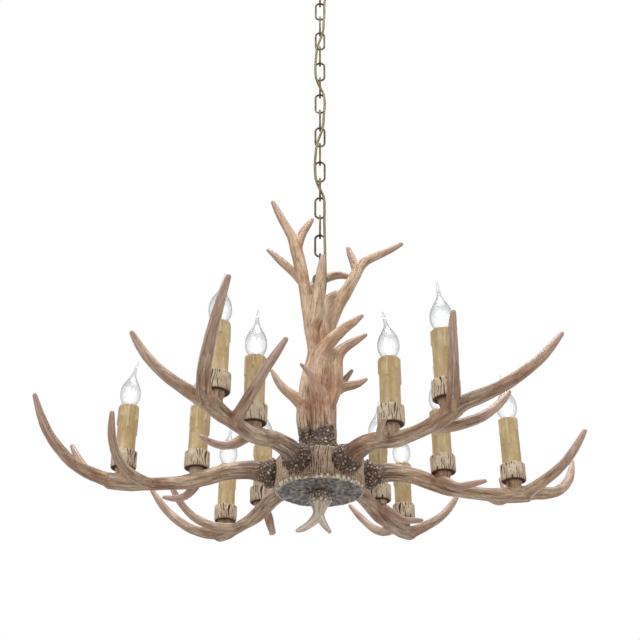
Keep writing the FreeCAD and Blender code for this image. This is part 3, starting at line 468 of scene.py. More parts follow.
def glass_finish():
    """Thin clear glass, a little grey, with a painted glow in its own emission just above the candle's rim.
    """
    finish, tree, shader = new_finish("bulb_glass")
    shader.inputs["Transmission Weight"].default_value = 1.0
    shader.inputs["IOR"].default_value = 1.3
    haze = speckle(tree, 90, 3)
    facing = node(tree, "ShaderNodeLayerWeight").outputs["Facing"]
    edges = ramp(facing, ((0.15, "f2f2f3"), (0.60, "e3e5e7"), (0.90, "aeb1b5")))
    veil = ramp(haze, ((0.4, "f4f5f6"), (0.7, "ffffff")))
    feed(blend_colour(1.0, edges, veil, "MULTIPLY"), shader, "Base Color")
    feed(ramp(haze, ((0.4, 0.22), (0.7, 0.30))), shader, "Roughness")
    # Painted glow: the glass itself emits a soft white light low down, most where it faces the camera.
    light = times(carved(tree, "glow"), maths("SUBTRACT", 1.0, facing))
    shine = ramp(light, ((0.0, "000000"), (0.35, "66655f"), (0.9, "d8d5cc")))
    feed(shine, shader, "Emission Color")
    shader.inputs["Emission Strength"].default_value = 0.13
    return finish


def glow_finish():
    """The lit filament and the white-coated stem that carries it, which glows with it as painted light."""
    finish, tree, shader = new_finish("filament_glow", roughness=0.4)
    mottle = speckle(tree, 260, 2)
    feed(ramp(mottle, ((0.3, "fbf8f1"), (0.7, "ffffff"))), shader, "Emission Color")
    feed(ramp(mottle, ((0.3, "f1eee7"), (0.7, "fdfcf8"))), shader, "Base Color")
    # The stem emits with the filaments: painted glow on the stem.
    shader.inputs["Emission Strength"].default_value = 1.6
    return finish


def plain_finish(name, metallic, scale, detail, colours, roughness, strength):
    """One colour with a slight mottle, for plated steel, plastic and the bulbs' caps."""
    finish, tree, shader = new_finish(name, metallic=metallic)
    mottle = speckle(tree, scale, detail)
    rough = ramp(mottle, ((0.3, roughness[0]), (0.7, roughness[1])))
    surface(shader, ramp(mottle, colours), rough, mottle, strength, 0.0003)
    return finish


PLAIN_FINISHES = (
    ("zinc_steel", 1.0, 160, 4, ((0.3, "8b8c8e"), (0.7, "c9cacc")), (0.5, 0.28), 0.08),
    ("bulb_cap", 1.0, 190, 4, ((0.3, "a5a29a"), (0.7, "dedbd2")), (0.42, 0.24), 0.1),
    ("terminal_plastic", 0.0, 240, 3, ((0.35, "d8d6cf"), (0.65, "efeee9")), (0.55, 0.4), 0.1),
    ("holder_plastic", 0.0, 240, 3, ((0.35, "cfc8b6"), (0.65, "e9e4d6")), (0.55, 0.4), 0.1),
)
FINISHES = {
    "antler": antler_finish(),
    "bark": bark_finish(),
    "dark_plate": plate_finish(),
    "candle": candle_finish(),
    "aged_brass": brass_finish(),
    "cord_jacket": cord_finish(),
    "bulb_glass": glass_finish(),
    "filament_glow": glow_finish(),
}
for settings in PLAIN_FINISHES:
    FINISHES[settings[0]] = plain_finish(*settings)


# ======== drawing helpers
def deselect():
    if bpy.context.object and bpy.context.object.mode != "OBJECT":
        bpy.ops.object.mode_set(mode="OBJECT")
    bpy.ops.object.select_all(action="DESELECT")


def only(piece):
    deselect()
    piece.select_set(True)
    bpy.context.view_layer.objects.active = piece


def smooth_path(points, steps=2):
    """Spots and radii on a curve through the (x, y, z, diameter) points, in metres."""
    ends = [points[0]] + list(points) + [points[-1]]
    path = []
    for i in range(1, len(ends) - 2):
        before, start, stop, after = ends[i - 1:i + 3]
        for k in range(steps):
            t = k / steps
            path.append([
                0.5 * (2 * b + (c - a) * t + (2 * a - 5 * b + 4 * c - d) * t ** 2
                       + (3 * b - a - 3 * c + d) * t ** 3)
                for a, b, c, d in zip(before, start, stop, after)])
    path.append(list(points[-1]))
    return [(Vector(p[:3]) * MM, p[3] / 2 * MM) for p in path]


def headings(spots):
    last = len(spots) - 1
    return [(spots[min(i + 1, last)] - spots[max(i - 1, 0)]).normalized() for i in range(last + 1)]


def turn_ring(axis, angle, centre):
    """Turns what is selected about an axis through `centre`, by its turns about X, Y and Z.
    Without a window the operator turns the other way round."""
    turns = Matrix.Rotation(angle, 3, axis).to_euler("XYZ")
    for letter, turn in zip("XYZ", turns):
        if abs(turn) > 1e-5:
            bpy.ops.transform.rotate(
                value=-turn, orient_axis=letter, orient_type="GLOBAL", center_override=centre)


def draw_tine(points):
    """A tine: a disc that is extruded from point to point, turned and thinned on the way."""
    path = smooth_path(points)
    spots = [spot for spot, _ in path]
    heads = headings(spots)
    facing = heads[0].to_track_quat("Z", "Y").to_euler()
    deselect()
    bpy.ops.mesh.primitive_circle_add(
        vertices=TINE_SIDES, radius=path[0][1], fill_type="NGON", location=spots[0], rotation=facing)
    tine = bpy.context.object
    bpy.ops.object.mode_set(mode="EDIT")
    for i in range(1, len(path)):
        bpy.ops.mesh.extrude_region_move(TRANSFORM_OT_translate={"value": spots[i] - spots[i - 1]})
        axis = heads[i - 1].cross(heads[i])
        if axis.length > 1e-5:
            turn_ring(axis.normalized(), heads[i - 1].angle(heads[i]), spots[i])
        thinner = path[i][1] / path[i - 1][1]
        bpy.ops.transform.resize(value=(thinner, thinner, thinner), center_override=spots[i])
    tip = heads[-1] * path[-1][1] * 0.6
    bpy.ops.mesh.extrude_region_move(TRANSFORM_OT_translate={"value": tip})
    bpy.ops.transform.resize(value=(0.6, 0.6, 0.6), center_override=spots[-1] + tip)
    bpy.ops.mesh.select_all(action="SELECT")
    bpy.ops.mesh.normals_make_consistent(inside=False)
    bpy.ops.object.mode_set(mode="OBJECT")
    return tine


def join(parts, name):
    deselect()
    for part in parts:
        part.select_set(True)
    bpy.context.view_layer.objects.active = parts[0]
    bpy.ops.object.join()
    whole = bpy.context.object
    whole.name = name
    whole.data.name = name
    bpy.ops.object.transform_apply(location=True, rotation=True, scale=True)
    return whole


def apply_modifier(piece, kind, **settings):
    only(piece)
    bpy.ops.object.modifier_add(type=kind)
    made = piece.modifiers[-1]
    for name, value in settings.items():
        setattr(made, name, value)
    bpy.ops.object.modifier_apply(modifier=made.name)


def rows_of(items, what):
    values = np.zeros(len(items) * 3)
    items.foreach_get(what, values)
    return values.reshape(-1, 3)


def corners(piece):
    return rows_of(piece.data.vertices, "co")


def put_corners(piece, spots):
    piece.data.vertices.foreach_set("co", np.asarray(spots, float).ravel())
    piece.data.update()


def note(piece, name, values):
    """Keeps a number, or a place, for each corner, for the finish to read."""
    values = np.asarray(values, np.float32)
    flat = values.ndim == 1
    made = piece.data.attributes.new(name, "FLOAT" if flat else "FLOAT_VECTOR", "POINT")
    made.data.foreach_set("value" if flat else "vector", values.ravel())


def ease(values, low, high):
    t = np.clip((values - low) / (high - low), 0, 1)
    return t * t * (3 - 2 * t)


def smooth_faces(piece, angle):
    only(piece)
    bpy.ops.object.shade_smooth_by_angle(angle=math.radians(angle))


def coat(piece, look):
    piece.data.materials.clear()
    piece.data.materials.append(FINISHES[look])


def finished(piece, look, body, *nodes):
    """Gives a piece its finish, the CAD nodes that it stands in for, and the body it rides on."""
    coat(piece, look)
    if nodes:
        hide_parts(*nodes)
    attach(piece, body)


def added(name, data):
    """A new object in the scene."""
    piece = bpy.data.objects.new(name, data)
    bpy.context.scene.collection.objects.link(piece)
    return piece


def copied(piece, name, matrix):
    """A copy with its own mesh, and its place in the mesh."""
    twin = added(name, piece.data.copy())
    twin.data.name = name
    twin.data.transform(matrix)
    return twin


def drop(piece):
    mesh = piece.data
    bpy.data.objects.remove(piece)
    bpy.data.meshes.remove(mesh)


def turned(degrees, axis="Z"):
    return Matrix.Rotation(math.radians(degrees), 4, axis)


def waver(spots, scale):
    """Smooth noise, from -1 to 1, at every spot."""
    return np.array([noise.noise(Vector(s) * scale) for s in spots])


# ======== antlers
# Over this many mm from a fork the skin is softened.
FORK_REACH = 7
# Sizes of the burr's knobs in metres, with the share of each.
KNOBS = ((0.0058, 0.7), (0.0031, 0.3))
# Heights of the slow lumps and of the knobs in mm.
LUMP_RISE = 0.8
KNOB_RISE = 3.2
# From the arms' grey-brown, darker partly as painted shade, at 0 to the finial's ivory at 1.
ARM_TONE = 0.12
COLUMN_TONE = 0.65
FINIAL_TONE = 1.0


def along_the_limbs(spots, limbs):
    """For each corner: the place round and along its nearest limb, that limb's radius, and how
    far off the surface of the next nearest limb is."""
    best = np.full(len(spots), 1e9)
    second = np.full(len(spots), 1e9)
    place = np.zeros((len(spots), 3))
    girth = np.zeros(len(spots))
    for k, points in enumerate(limbs):
        path = smooth_path(points)
        run = 0.37 * k
        first = (path[1][0] - path[0][0]).normalized()
        side = Vector((0, 0, 1)) if abs(first.z) < 0.9 else Vector((1, 0, 0))
        nearest = np.full(len(spots), 1e9)
        spot_of = np.zeros((len(spots), 3))
        radius_of = np.zeros(len(spots))
        for (a, ra), (b, rb) in zip(path, path[1:]):
            step = b - a
            head = step.normalized()
            side = (side - head * side.dot(head)).normalized()
            other = np.array(head.cross(side))
            way = np.array(head)
            offset = spots - np.array(a)
            t = np.clip(offset @ way / step.length, 0, 1)
            off_axis = offset - np.outer(t * step.length, way)
            r = ra + (rb - ra) * t
            miss = np.abs(np.linalg.norm(off_axis, axis=1) - r)
            near = miss < nearest
            nearest[near] = miss[near]
            angle = np.arctan2(off_axis[near] @ other, off_axis[near] @ np.array(side))
            spot_of[near] = np.stack([np.cos(angle), np.sin(angle), run + t[near] * step.length], 1)
            radius_of[near] = r[near]
            run += step.length
        second = np.minimum(second, np.maximum(best, nearest))
        won = nearest < best
        best[won] = nearest[won]
        place[won] = spot_of[won]
        girth[won] = radius_of[won]
    return place, girth, second


def knob(spot, size):
    """Height of a round knob over the burr, from 0 in the cracks between knobs to 1 on top of one."""
    near = noise.voronoi(Vector(spot) / size)[0]
    return min(1.0, 1.9 * (near[1] - near[0])) ** 0.7


def blunt(points):
    """The same limb with its thin end a little thicker, as a casting comes out of its mould."""
    return [(x, y, z, across + 3.0 * max(0.0, 1 - across / 20)) for x, y, z, across in points]


def grow_antler(name, limbs, burr_of, stain_of, tone, voxel=ANTLER_VOXEL):
    """Joins the tines to one skin, softens the forks, then raises the grain and the burr's knobs."""
    limbs = [blunt(points) for points in limbs]
    antler = join([draw_tine(points) for points in limbs], name)
    apply_modifier(antler, "REMESH", mode="VOXEL", voxel_size=voxel * MM)
    apply_modifier(antler, "SMOOTH", factor=0.5, iterations=3)
    place, girth, second = along_the_limbs(corners(antler), limbs)
    forks = antler.vertex_groups.new(name="forks")
    for corner in np.nonzero(second < FORK_REACH * MM)[0]:
        forks.add([int(corner)], float(1 - ease(second[corner] / MM, 2, FORK_REACH)), "REPLACE")
    apply_modifier(antler, "SMOOTH", factor=0.5, iterations=14, vertex_group="forks")
    antler.vertex_groups.clear()
    spots = corners(antler)
    normals = rows_of(antler.data.vertex_normals, "vector")
    burr = burr_of(spots / MM)
    knobs = np.array([sum(share * knob(s, size) for size, share in KNOBS) if b > 0.01 else 0.0
                      for s, b in zip(spots, burr)])
    lumps = waver(spots, 42)
    ridges = np.array([noise.fractal(Vector(p), 1.0, 2.0, 3) for p in place * (2.3, 2.3, 11)])
    thick = ease(girth / MM, 1.5, 11)
    stain = stain_of(spots / MM)
    rise = (0.55 + 0.5 * stain) * thick * ridges * (1 - burr) + LUMP_RISE * thick * lumps
    rise += KNOB_RISE * burr * (knobs - 0.5)
    put_corners(antler, spots + normals * rise[:, None] * MM)
    note(antler, "grain", place)
    note(antler, "girth", np.clip(girth / MM / 18, 0, 1))
    note(antler, "burr", burr)
    note(antler, "stain", stain)
    note(antler, "tone", np.full(len(spots), tone))
    # Knob heights, which the finish also turns into the burr's painted highlights and shade.
    note(antler, "relief", np.where(burr > 0.02, knobs, 0.5))
    smooth_faces(antler, 180)
    return antler


def seat_under(place):
    """Stub of antler that carries a cup."""
    x, y, up = place
    return ((x, y, up - SEAT_DEPTH - 4, 19), (x, y, up - SEAT_DEPTH * 0.6, 21),
            (x, y, up - 3, 26), (x, y, up, 27))


# How much burr and dark stain there is at each corner, for corners in mm.
def arm_burr(spots):
    return 1 - ease(spots[:, 0] + 11 * waver(spots, 0.11), 95, 108)


def arm_stain(spots):
    return 1 - ease(spots[:, 0], 98, 172)


def column_burr(spots):
    return 1 - ease(spots[:, 2] + 22 * waver(spots, 0.08), 98, 118)


def column_stain(spots):
    return 0.6 * (1 - ease(spots[:, 2], 105, 170))


def finial_burr(spots):
    return ease(spots[:, 2], -26, -14)


def no_stain(spots):
    return np.zeros(len(spots))


def settle(number):
    """Where an arm's casting goes: its roll and nod about its bolt, then its turn round the hub."""
    turn, roll, nod = ARM_SET[number]
    lean = turned(nod, Vector((0, -1, 0))) @ turned(roll, "X")
    pivot = ARM_PIVOT * MM
    round_hub = turned(number * 360 / ARM_COUNT + turn)
    return round_hub @ Matrix.Translation(pivot) @ lean @ Matrix.Translation(-pivot)


def make_arms():
    limbs = [BEAM, BURR_COLLAR, OUTER_TINE, INNER_TINE, FRONT_TINE, BROW_TINE,
             seat_under(INNER_CANDLE), seat_under(OUTER_CANDLE)]
    casting = grow_antler("arm_casting", limbs, arm_burr, arm_stain, ARM_TONE)
    for number in range(ARM_COUNT):
        arm = copied(casting, "arm_antler_%d" % (number + 1), TO_HUB @ settle(number))
        finished(arm, "antler", "pendant", "antler_arm_%d" % (number + 1))
    drop(casting)


def make_column():
    sets = {
        "front": [FRONT_BEAM, FRONT_BRANCH, FRONT_LOW_TINE, FRONT_SMALL_TINE],
        "left": [LEFT_BEAM, LEFT_FORK_TINE, LEFT_FRONT_TINE, LEFT_BACK_TINE, LEFT_CURL_TINE, LEFT_LOW_TINE],
        "right": [RIGHT_BEAM, RIGHT_SMALL_TINE, RIGHT_REAR_TINE, RIGHT_WEB, RIGHT_FILL],
    }
    for name, limbs in sets.items():
        antler = grow_antler("%s_antler" % name, limbs, column_burr, column_stain, COLUMN_TONE)
        antler.data.transform(TO_HUB)
        finished(antler, "antler", "pendant", "column_antler_" + name)


def make_finial():
    limbs = [FINIAL, FINIAL_TINE]
    finial = grow_antler("finial_antler", limbs, finial_burr, no_stain, FINIAL_TONE, FINIAL_VOXEL)
    finial.data.transform(TO_HUB)
    finished(finial, "antler", "pendant", "finial")


# ======== round pieces
# A push away from a piece's middle axis stays level.
LEVEL = (1, 1, 0)


def draw_round(profile, sides, name, closed=True):
    """A wall that goes round: a ring at the first (radius, height), extruded on to every next one."""
    first_r, first_z = profile[0]
    deselect()
    bpy.ops.mesh.primitive_circle_add(vertices=sides, radius=first_r * MM, location=(0, 0, first_z * MM))
    piece = bpy.context.object
    piece.name = name
    bpy.ops.object.mode_set(mode="EDIT")
    for (r0, z0), (r1, z1) in zip(profile, profile[1:]):
        bpy.ops.mesh.extrude_region_move(TRANSFORM_OT_translate={"value": (0, 0, (z1 - z0) * MM)})
        wider = r1 / r0
        bpy.ops.transform.resize(value=(wider, wider, 1), center_override=(0, 0, z1 * MM))
    bpy.ops.mesh.select_all(action="SELECT")
    if closed:
        bpy.ops.mesh.remove_doubles(threshold=0.00002)
    bpy.ops.mesh.normals_make_consistent(inside=False)
    bpy.ops.object.mode_set(mode="OBJECT")
    bpy.ops.object.transform_apply(location=True, rotation=True, scale=True)
    return piece


def steps_between(low, high, count):
    return [low + (high - low) * k / count for k in range(count + 1)]


def round_place(spots):
    """For each corner: the place round and up, the distance from the middle axis and the angle."""
    angle = np.arctan2(spots[:, 1], spots[:, 0])
    place = np.stack([np.cos(angle), np.sin(angle), spots[:, 2]], 1)
    return place, np.hypot(spots[:, 0], spots[:, 1]), angle


def crack_depth(place, count, width):
    """1 in the bottom of a thin crack that runs up the wall, 0 on the bark between."""
    wander = noise.noise(Vector((place[0] * 3, place[1] * 3, place[2] * 45))) * 0.9
    at = math.atan2(place[1], place[0]) / (2 * math.pi) * count + wander
    nearest = round(at)
    beside = max(0.0, 1 - abs(at - nearest) / width)
    broken = noise.noise(Vector((nearest * 7.31, 0.5, place[2] * 70 + nearest)))
    return beside * float(ease(np.float64(broken), -0.22, 0.02))


def carve_bark(piece, wall_r, deep, count, width, low, high, tone):
    """Cracks and lumps on the wall between the heights `low` and `high`."""
    spots = corners(piece)
    place, radius, _ = round_place(spots)
    cracks = np.array([crack_depth(p, count, width) for p in place])
    lumps = np.array([noise.noise(Vector(p) * 4 + Vector((0, 0, p[2] * 60))) for p in place])
    on_wall = ease(radius / MM, wall_r - 2.2, wall_r - 0.4)
    heights = spots[:, 2] / MM
    end_fade = ease(heights, low, low + 1.5) * (1 - ease(heights, high - 1.5, high) * 0.6)
    push = on_wall * (0.5 * lumps - deep * cracks * (0.4 + 0.6 * end_fade)) * MM
    put_corners(piece, spots + place * LEVEL * push[:, None])
    # Painted shade: the relief is darkened under the height `low`, on a cup's foot where it sits on its
    # seat.
    shade = 1 - 0.62 * (1 - ease(heights, low - 2, low - 0.5))
    note(piece, "grain", place * (1, 1, 2))
    note(piece, "relief", (1 - np.clip(cracks, 0, 1) * on_wall) * shade)
    note(piece, "tone", np.full(len(spots), tone))


def candle_spots():
    """Name, foot and turn in degrees of each candle."""
    spots = []
    for ring, place, start in (("inner", INNER_CANDLE, 0), ("outer", OUTER_CANDLE, 20)):
        for number in range(ARM_COUNT):
            spot = settle(number) @ (Vector(place) * MM) + HUB
            spots.append(("%s_%d" % (ring, number + 1), spot, start + 47 * number))
    return spots


CANDLES = candle_spots()


def set_round(piece, prefix, look, node_name):
    """Sets a copy of the piece on every candle's spot, each with its own turn."""
    for name, spot, turn in CANDLES:
        twin = copied(piece, prefix + name, Matrix.Translation(spot) @ turned(turn))
        finished(twin, look, "pendant", node_name)
    drop(piece)


def make_cups():
    wall = [(CUP_R, z) for z in steps_between(5, CUP_H - 1.2, 22)]
    foot = [(5.2, 0), (9, 0), (13, 0), (17, 0.1), (CUP_FOOT_R + 0.8, 0.4), (CUP_R - 0.6, 1.3),
            (CUP_R - 0.1, 2.8)]
    rim = [(CUP_R - 0.6, CUP_H - 0.3), (CUP_R - 1.8, CUP_H), (SLEEVE_R + 0.5, CUP_H - 0.2),
           (SLEEVE_R + 0.12, CUP_H - 1.2)]
    inside = [(SLEEVE_R + 0.12, 20), (SLEEVE_R + 0.12, CUP_FLOOR), (12, CUP_FLOOR), (5.2, CUP_FLOOR),
              (5.2, 0)]
    cup = draw_round(foot + wall + rim + inside, 168, "cup")
    carve_bark(cup, CUP_R, deep=1.6, count=32, width=0.24, low=2, high=CUP_H, tone=1.0)
    spots = corners(cup)
    spots[:, 2] += 1.3 * MM * waver(spots, 260) * ease(spots[:, 2] / MM, CUP_H - 4, CUP_H - 1)
    put_corners(cup, spots)
    smooth_faces(cup, 60)
    set_round(cup, "cup_", "bark", "bark_cups")


def wax_rise(angle, down):
    """Wax, from 0 to 1, at an angle in degrees and a distance under the rim in mm."""
    most = 0.0
    for where, length, width in DRIPS:
        across = abs((angle - where + 180) % 360 - 180) * math.pi / 180 * SLEEVE_R
        half = width * (0.75 + 0.45 * max(0.0, min(1.0, (down - length + 9) / 9)))
        side = 1 - min(1.0, across / half) ** 2
        past = max(0.0, down - length + width) / width
        end = math.sqrt(max(0.0, 1 - past ** 2))
        most = max(most, math.sqrt(max(0.0, side)) * end)
    collar = 0.35 * max(0.0, 1 - (down / (7 + 3 * math.sin(math.radians(angle * 3)))) ** 2)
    return max(most, collar)


def make_sleeves():
    low = CUP_FLOOR + 0.2
    outside = [(SLEEVE_R, z) for z in steps_between(low, SLEEVE_TOP - 1.0, 84)]
    rim = [(SLEEVE_R - 0.3, SLEEVE_TOP - 0.3), (SLEEVE_R - 0.9, SLEEVE_TOP),
           (SLEEVE_BORE_R + 0.5, SLEEVE_TOP)]
    inside = [(SLEEVE_BORE_R, z) for z in (SLEEVE_TOP - 0.6, 90, 60, 30, low)]
    sleeve = draw_round(outside + rim + inside + [(SLEEVE_R, low)], 128, "sleeve")
    spots = corners(sleeve)
    place, radius, angle = round_place(spots)
    wax = np.array([wax_rise(a, SLEEVE_TOP - z / MM) for a, z in zip(np.degrees(angle), spots[:, 2])])
    lumps = waver(place * (1.8, 1.8, 30), 1)
    on_wall = ease(radius / MM, SLEEVE_R - 1.3, SLEEVE_R - 0.2)
    above_cup = ease(spots[:, 2] / MM, CUP_H, CUP_H + 4)
    push = on_wall * above_cup * (1.9 * wax + 0.35 * lumps) * MM
    put_corners(sleeve, spots + place * LEVEL * push[:, None])
    note(sleeve, "grain", place * (1, 1, 1.5))
    note(sleeve, "relief", wax)
    smooth_faces(sleeve, 50)
    set_round(sleeve, "sleeve_", "candle", "candle_sleeves")


def set_in_hub(piece, name, look, node_name):
    piece.data.transform(TO_HUB)
    smooth_faces(piece, 60)
    piece.name = name
    finished(piece, look, "pendant", node_name)


def make_drum():
    top = DRUM_TOP_UP
    wall = [(DRUM_R, z) for z in steps_between(PLATE_H + 0.6, top - 1.5, 34)]
    cover = [(DRUM_R - 0.8, top - 0.3), (DRUM_R - 2.2, top)] + [(r, top) for r in (60, 40, 20, 7)]
    inside = [(7, top - 9), (40, top - 9), (65, top - 9), (65, PLATE_H), (DRUM_R - 1, PLATE_H),
              (DRUM_R, PLATE_H + 0.6)]
    drum = draw_round(wall + cover + inside, 680, "drum")
    carve_bark(drum, DRUM_R, deep=1.5, count=122, width=0.22, low=PLATE_H, high=top, tone=0.0)
    set_in_hub(drum, "drum_bark", "bark", "hub_drum")


def make_plate():
    under = [(7, 0.1)] + [(r, 0.0) for r in steps_between(9, PLATE_R - 4, 44)]
    edge = [(PLATE_R - 2.2, 0.5), (PLATE_R - 0.9, 1.5), (PLATE_R, 3.0), (PLATE_R, 4.6),
            (PLATE_R - 0.6, PLATE_H)]
    top = [(50, PLATE_H), (25, PLATE_H), (7, PLATE_H), (7, 0.1)]
    plate = draw_round(under + edge + top, 300, "plate")
    spots = corners(plate)
    place, radius, _ = round_place(spots)
    radius = radius / MM
    low = 1 - ease(spots[:, 2] / MM, 3.5, 5.5)
    level = [Vector((x, y, 0.003)) for x, y in spots[:, :2]]
    pits = np.array([max(0.0, 1 - noise.voronoi(s / 0.0088)[0][0] / 0.62) for s in level])
    beads = np.array([knob(s, 0.006) for s in level])
    rim = ease(radius + 2.0 * waver(spots, 90), PLATE_R - 6, PLATE_R - 2)
    relief = (1 - rim) * (1 - pits) + rim * beads
    rise = 1.6 * (relief - 0.6) + 0.5 * (1 - rim) * beads
    spots[:, 2] -= low * ease(radius, 8, 16) * rise * MM
    push = low * rim * (1.2 * beads - 0.7) * MM
    put_corners(plate, spots + place * LEVEL * push[:, None])
    note(plate, "relief", relief)
    note(plate, "rim", rim)
    note(plate, "middle", 1 - ease(radius, 14, 34))
    set_in_hub(plate, "plate_pebbled", "dark_plate", "bottom_plate")


# ======== bulbs
# How far the tail of each bulb leans, in mm, and towards which side, in degrees from +X.
BULB_BENDS = {
    "inner_1": (8, 175), "inner_2": (4, 10), "inner_3": (4, 10), "inner_4": (9, 15), "inner_5": (2, 0),
    "inner_6": (9, 175), "outer_1": (7, 180), "outer_2": (5, 170), "outer_3": (5, 10), "outer_4": (10, 0),
    "outer_5": (5, 0), "outer_6": (4, 170),
}
CAP_PITCH = 2.82


def draw_cap():
    """E14 screw cap: a brass shell whose thread climbs round it, on a solder contact."""
    foot = [(0.1, -21.5), (2.6, -21.5), (3.0, -20.8), (3.0, -19.2), (5.4, -18.8), (6.2, -18)]
    wall = [(6.8, z) for z in steps_between(-17, -3.2, 46)]
    inside = [(6.9, -2.6), (6.9, -2.0), (6.3, -2.0), (6.2, -3), (6.2, -15), (0.1, -15)]
    cap = draw_round(foot + wall + inside, 60, "screw_cap")
    spots = corners(cap)
    place, radius, angle = round_place(spots)
    heights = spots[:, 2] / MM
    phase = 2 * math.pi * heights / CAP_PITCH - angle
    on_wall = (radius > 6.5 * MM) * ease(heights, -18, -16) * (1 - ease(heights, -4.5, -3))
    push = -0.35 * MM * on_wall * (1 - np.cos(phase))
    put_corners(cap, spots + place * LEVEL * push[:, None])
    smooth_faces(cap, 40)
    return cap


def draw_glass():
    """Bulb with a thin wall; its tail is still straight."""
    curve = smooth_path([(0, 0, z, 2 * r) for r, z in GLASS_PROFILE], 4)
    outer = [(radius / MM, spot.z / MM) for spot, radius in curve]
    inner = [(max(r - 0.8, 0.35), z) for r, z in outer if z < 74]
    tip = [(0.5, outer[-1][1] + 0.5), (0.1, outer[-1][1] + 0.6), (0.1, inner[-1][1] + 1.5)]
    glass = draw_round(outer + tip + inner[::-1] + [outer[0]], 48, "glass")
    heights = corners(glass)[:, 2] / MM
    # Where the glass has its painted glow.
    note(glass, "glow", ease(heights, 1, 8) * (1 - ease(heights, 22, 46)))
    smooth_faces(glass, 180)
    return glass


def draw_core():
    """The stem inside a bulb with its four filaments."""
    profile = [(3.2, -16), (3.4, -6), (2.4, 0), (2.0, 4), (1.5, 6.5), (0.1, 7)]
    parts = [draw_round(profile, 24, "stem", closed=False)]
    for k in range(4):
        angle = math.radians(45 + 90 * k)
        foot = Vector((1.2 * math.cos(angle), 1.2 * math.sin(angle), 5.5))
        head = Vector((5.2 * math.cos(angle + 0.4), 5.2 * math.sin(angle + 0.4), 34))
        parts.append(draw_tine([(*foot, 1.3), (*((foot + head) / 2), 1.5), (*head, 1.2)]))
    core = join(parts, "core")
    smooth_faces(core, 60)
    return core


def bend_tail(piece, bend, towards):
    spots = corners(piece)
    lean = bend * MM * np.clip((spots[:, 2] / MM - 40) / 50, 0, 1) ** 1.6
    spots[:, 0] += lean * math.cos(math.radians(towards))
    spots[:, 1] += lean * math.sin(math.radians(towards))
    put_corners(piece, spots)


def make_bulbs():
    glass = draw_glass()
    core = draw_core()
    cap = draw_cap()
    for name, spot, _ in CANDLES:
        body = name.replace("_", "_bulb_")
        seat = Matrix.Translation(spot + Vector((0, 0, SLEEVE_TOP * MM)))
        piece = copied(glass, "glass_" + name, Matrix.Identity(4))
        bend_tail(piece, *BULB_BENDS[name])
        piece.data.transform(seat)
        finished(piece, "bulb_glass", body + "_glass", body + "_glass")
        finished(copied(core, "filament_" + name, seat), "filament_glow", body + "_glass")
        finished(copied(cap, "cap_" + name, seat), "bulb_cap", body + "_cap", body + "_cap")
    drop(glass)
    drop(core)
    drop(cap)


# ======== cord
CORD_R = 2.5
CORD_SIDES = 16
LINK_TWO_Z = -127.9
LINK_PITCH = 42.9
# The cord's route, as (x, y, z), down to the middle of the top link ...
CORD_ABOVE = (
    (22, 0, -9), (13, 0, -9), (5.2, 0, -13.5), (0.6, 0, -21.5), (0, 0, -34), (0, 0, -48),
    (1, -1.9, -55.5), (7.6, -8, -67), (12.5, -6.6, -82), (13.1, -5.7, -85.25),
)
# ... past the next pivot ...
CORD_BELOW = ((13.1, -5.7, -85.25), (14.8, -3, -95), (15, -1, -108.7), (14.6, -1.6, -117.7))
# ... through the links, as (x, y, link, mm above that link's centre) ...
CORD_WEAVE = (
    (12.6, -3, 2, 1), (10, -6, 2, -16), (9, -7.5, 3, 6), (9.5, -7, 3, -16), (7.5, -8, 4, 4),
    (7.5, -8.5, 4, -16), (4.5, -7.5, 5, 10), (-1.5, -7, 5, -8), (-6.5, -8, 6, 16), (-8, -8.5, 6, -6),
    (-9.5, -7.5, 7, 14), (-9.5, -6.5, 7, -8), (-7, -5, 8, 15), (0.5, -0.5, 8, -1), (7, -4.5, 8, -17),
    (9.5, -7, 9, 4), (9.5, -7.5, 9, -16), (7.5, -8, 10, 6), (7, -8.5, 10, -14), (4, -7.5, 11, 10),
    (-2, -7, 11, -8), (-7, -8, 12, 14), (-8.5, -8.5, 12, -6), (-10, -7.5, 13, 14), (-9.5, -6.5, 13, -8),
    (-7, -5, 14, 15), (0.5, -0.5, 14, -1), (7, -4.5, 14, -17), (8.5, -7, 15, 4), (8, -7.5, 16, 4),
    (9, -7, 17, 4), (9.5, -7.4, 18, 0),
)
# ... and down the column, as (x, y, height above the drum's underside).
CORD_IN_COLUMN = (
    (10, -8, 412), (10, -8.2, 390), (7, -5.8, 368), (1.5, -1.3, 346), (0, 0, 322), (0.4, 0, 280),
    (0, 0.4, 225), (-0.4, 0, 170), (0, -0.4, 115), (0, 0, 64), (1.2, 0, 42), (6, 0, 27), (16, 0, 17),
    (30, 0, 17),
)


def cord_line(points, fineness):
    """Spots along a smooth line that the route's points pull into shape."""
    curve = bpy.data.curves.new("cord_line", "CURVE")
    curve.dimensions = "3D"
    curve.resolution_u = fineness
    spline = curve.splines.new("NURBS")
    spline.points.add(len(points) - 1)
    for control, place in zip(spline.points, points):
        control.co = (*[value * MM for value in place], 1)
    spline.order_u = 3
    spline.use_endpoint_u = True
    holder = added("cord_line", curve)
    bpy.context.view_layer.update()
    line = bpy.data.meshes.new_from_object(holder.evaluated_get(bpy.context.evaluated_depsgraph_get()))
    spots = [corner.co.copy() for corner in line.vertices]
    bpy.data.meshes.remove(line)
    bpy.data.objects.remove(holder)
    bpy.data.curves.remove(curve)
    return spots


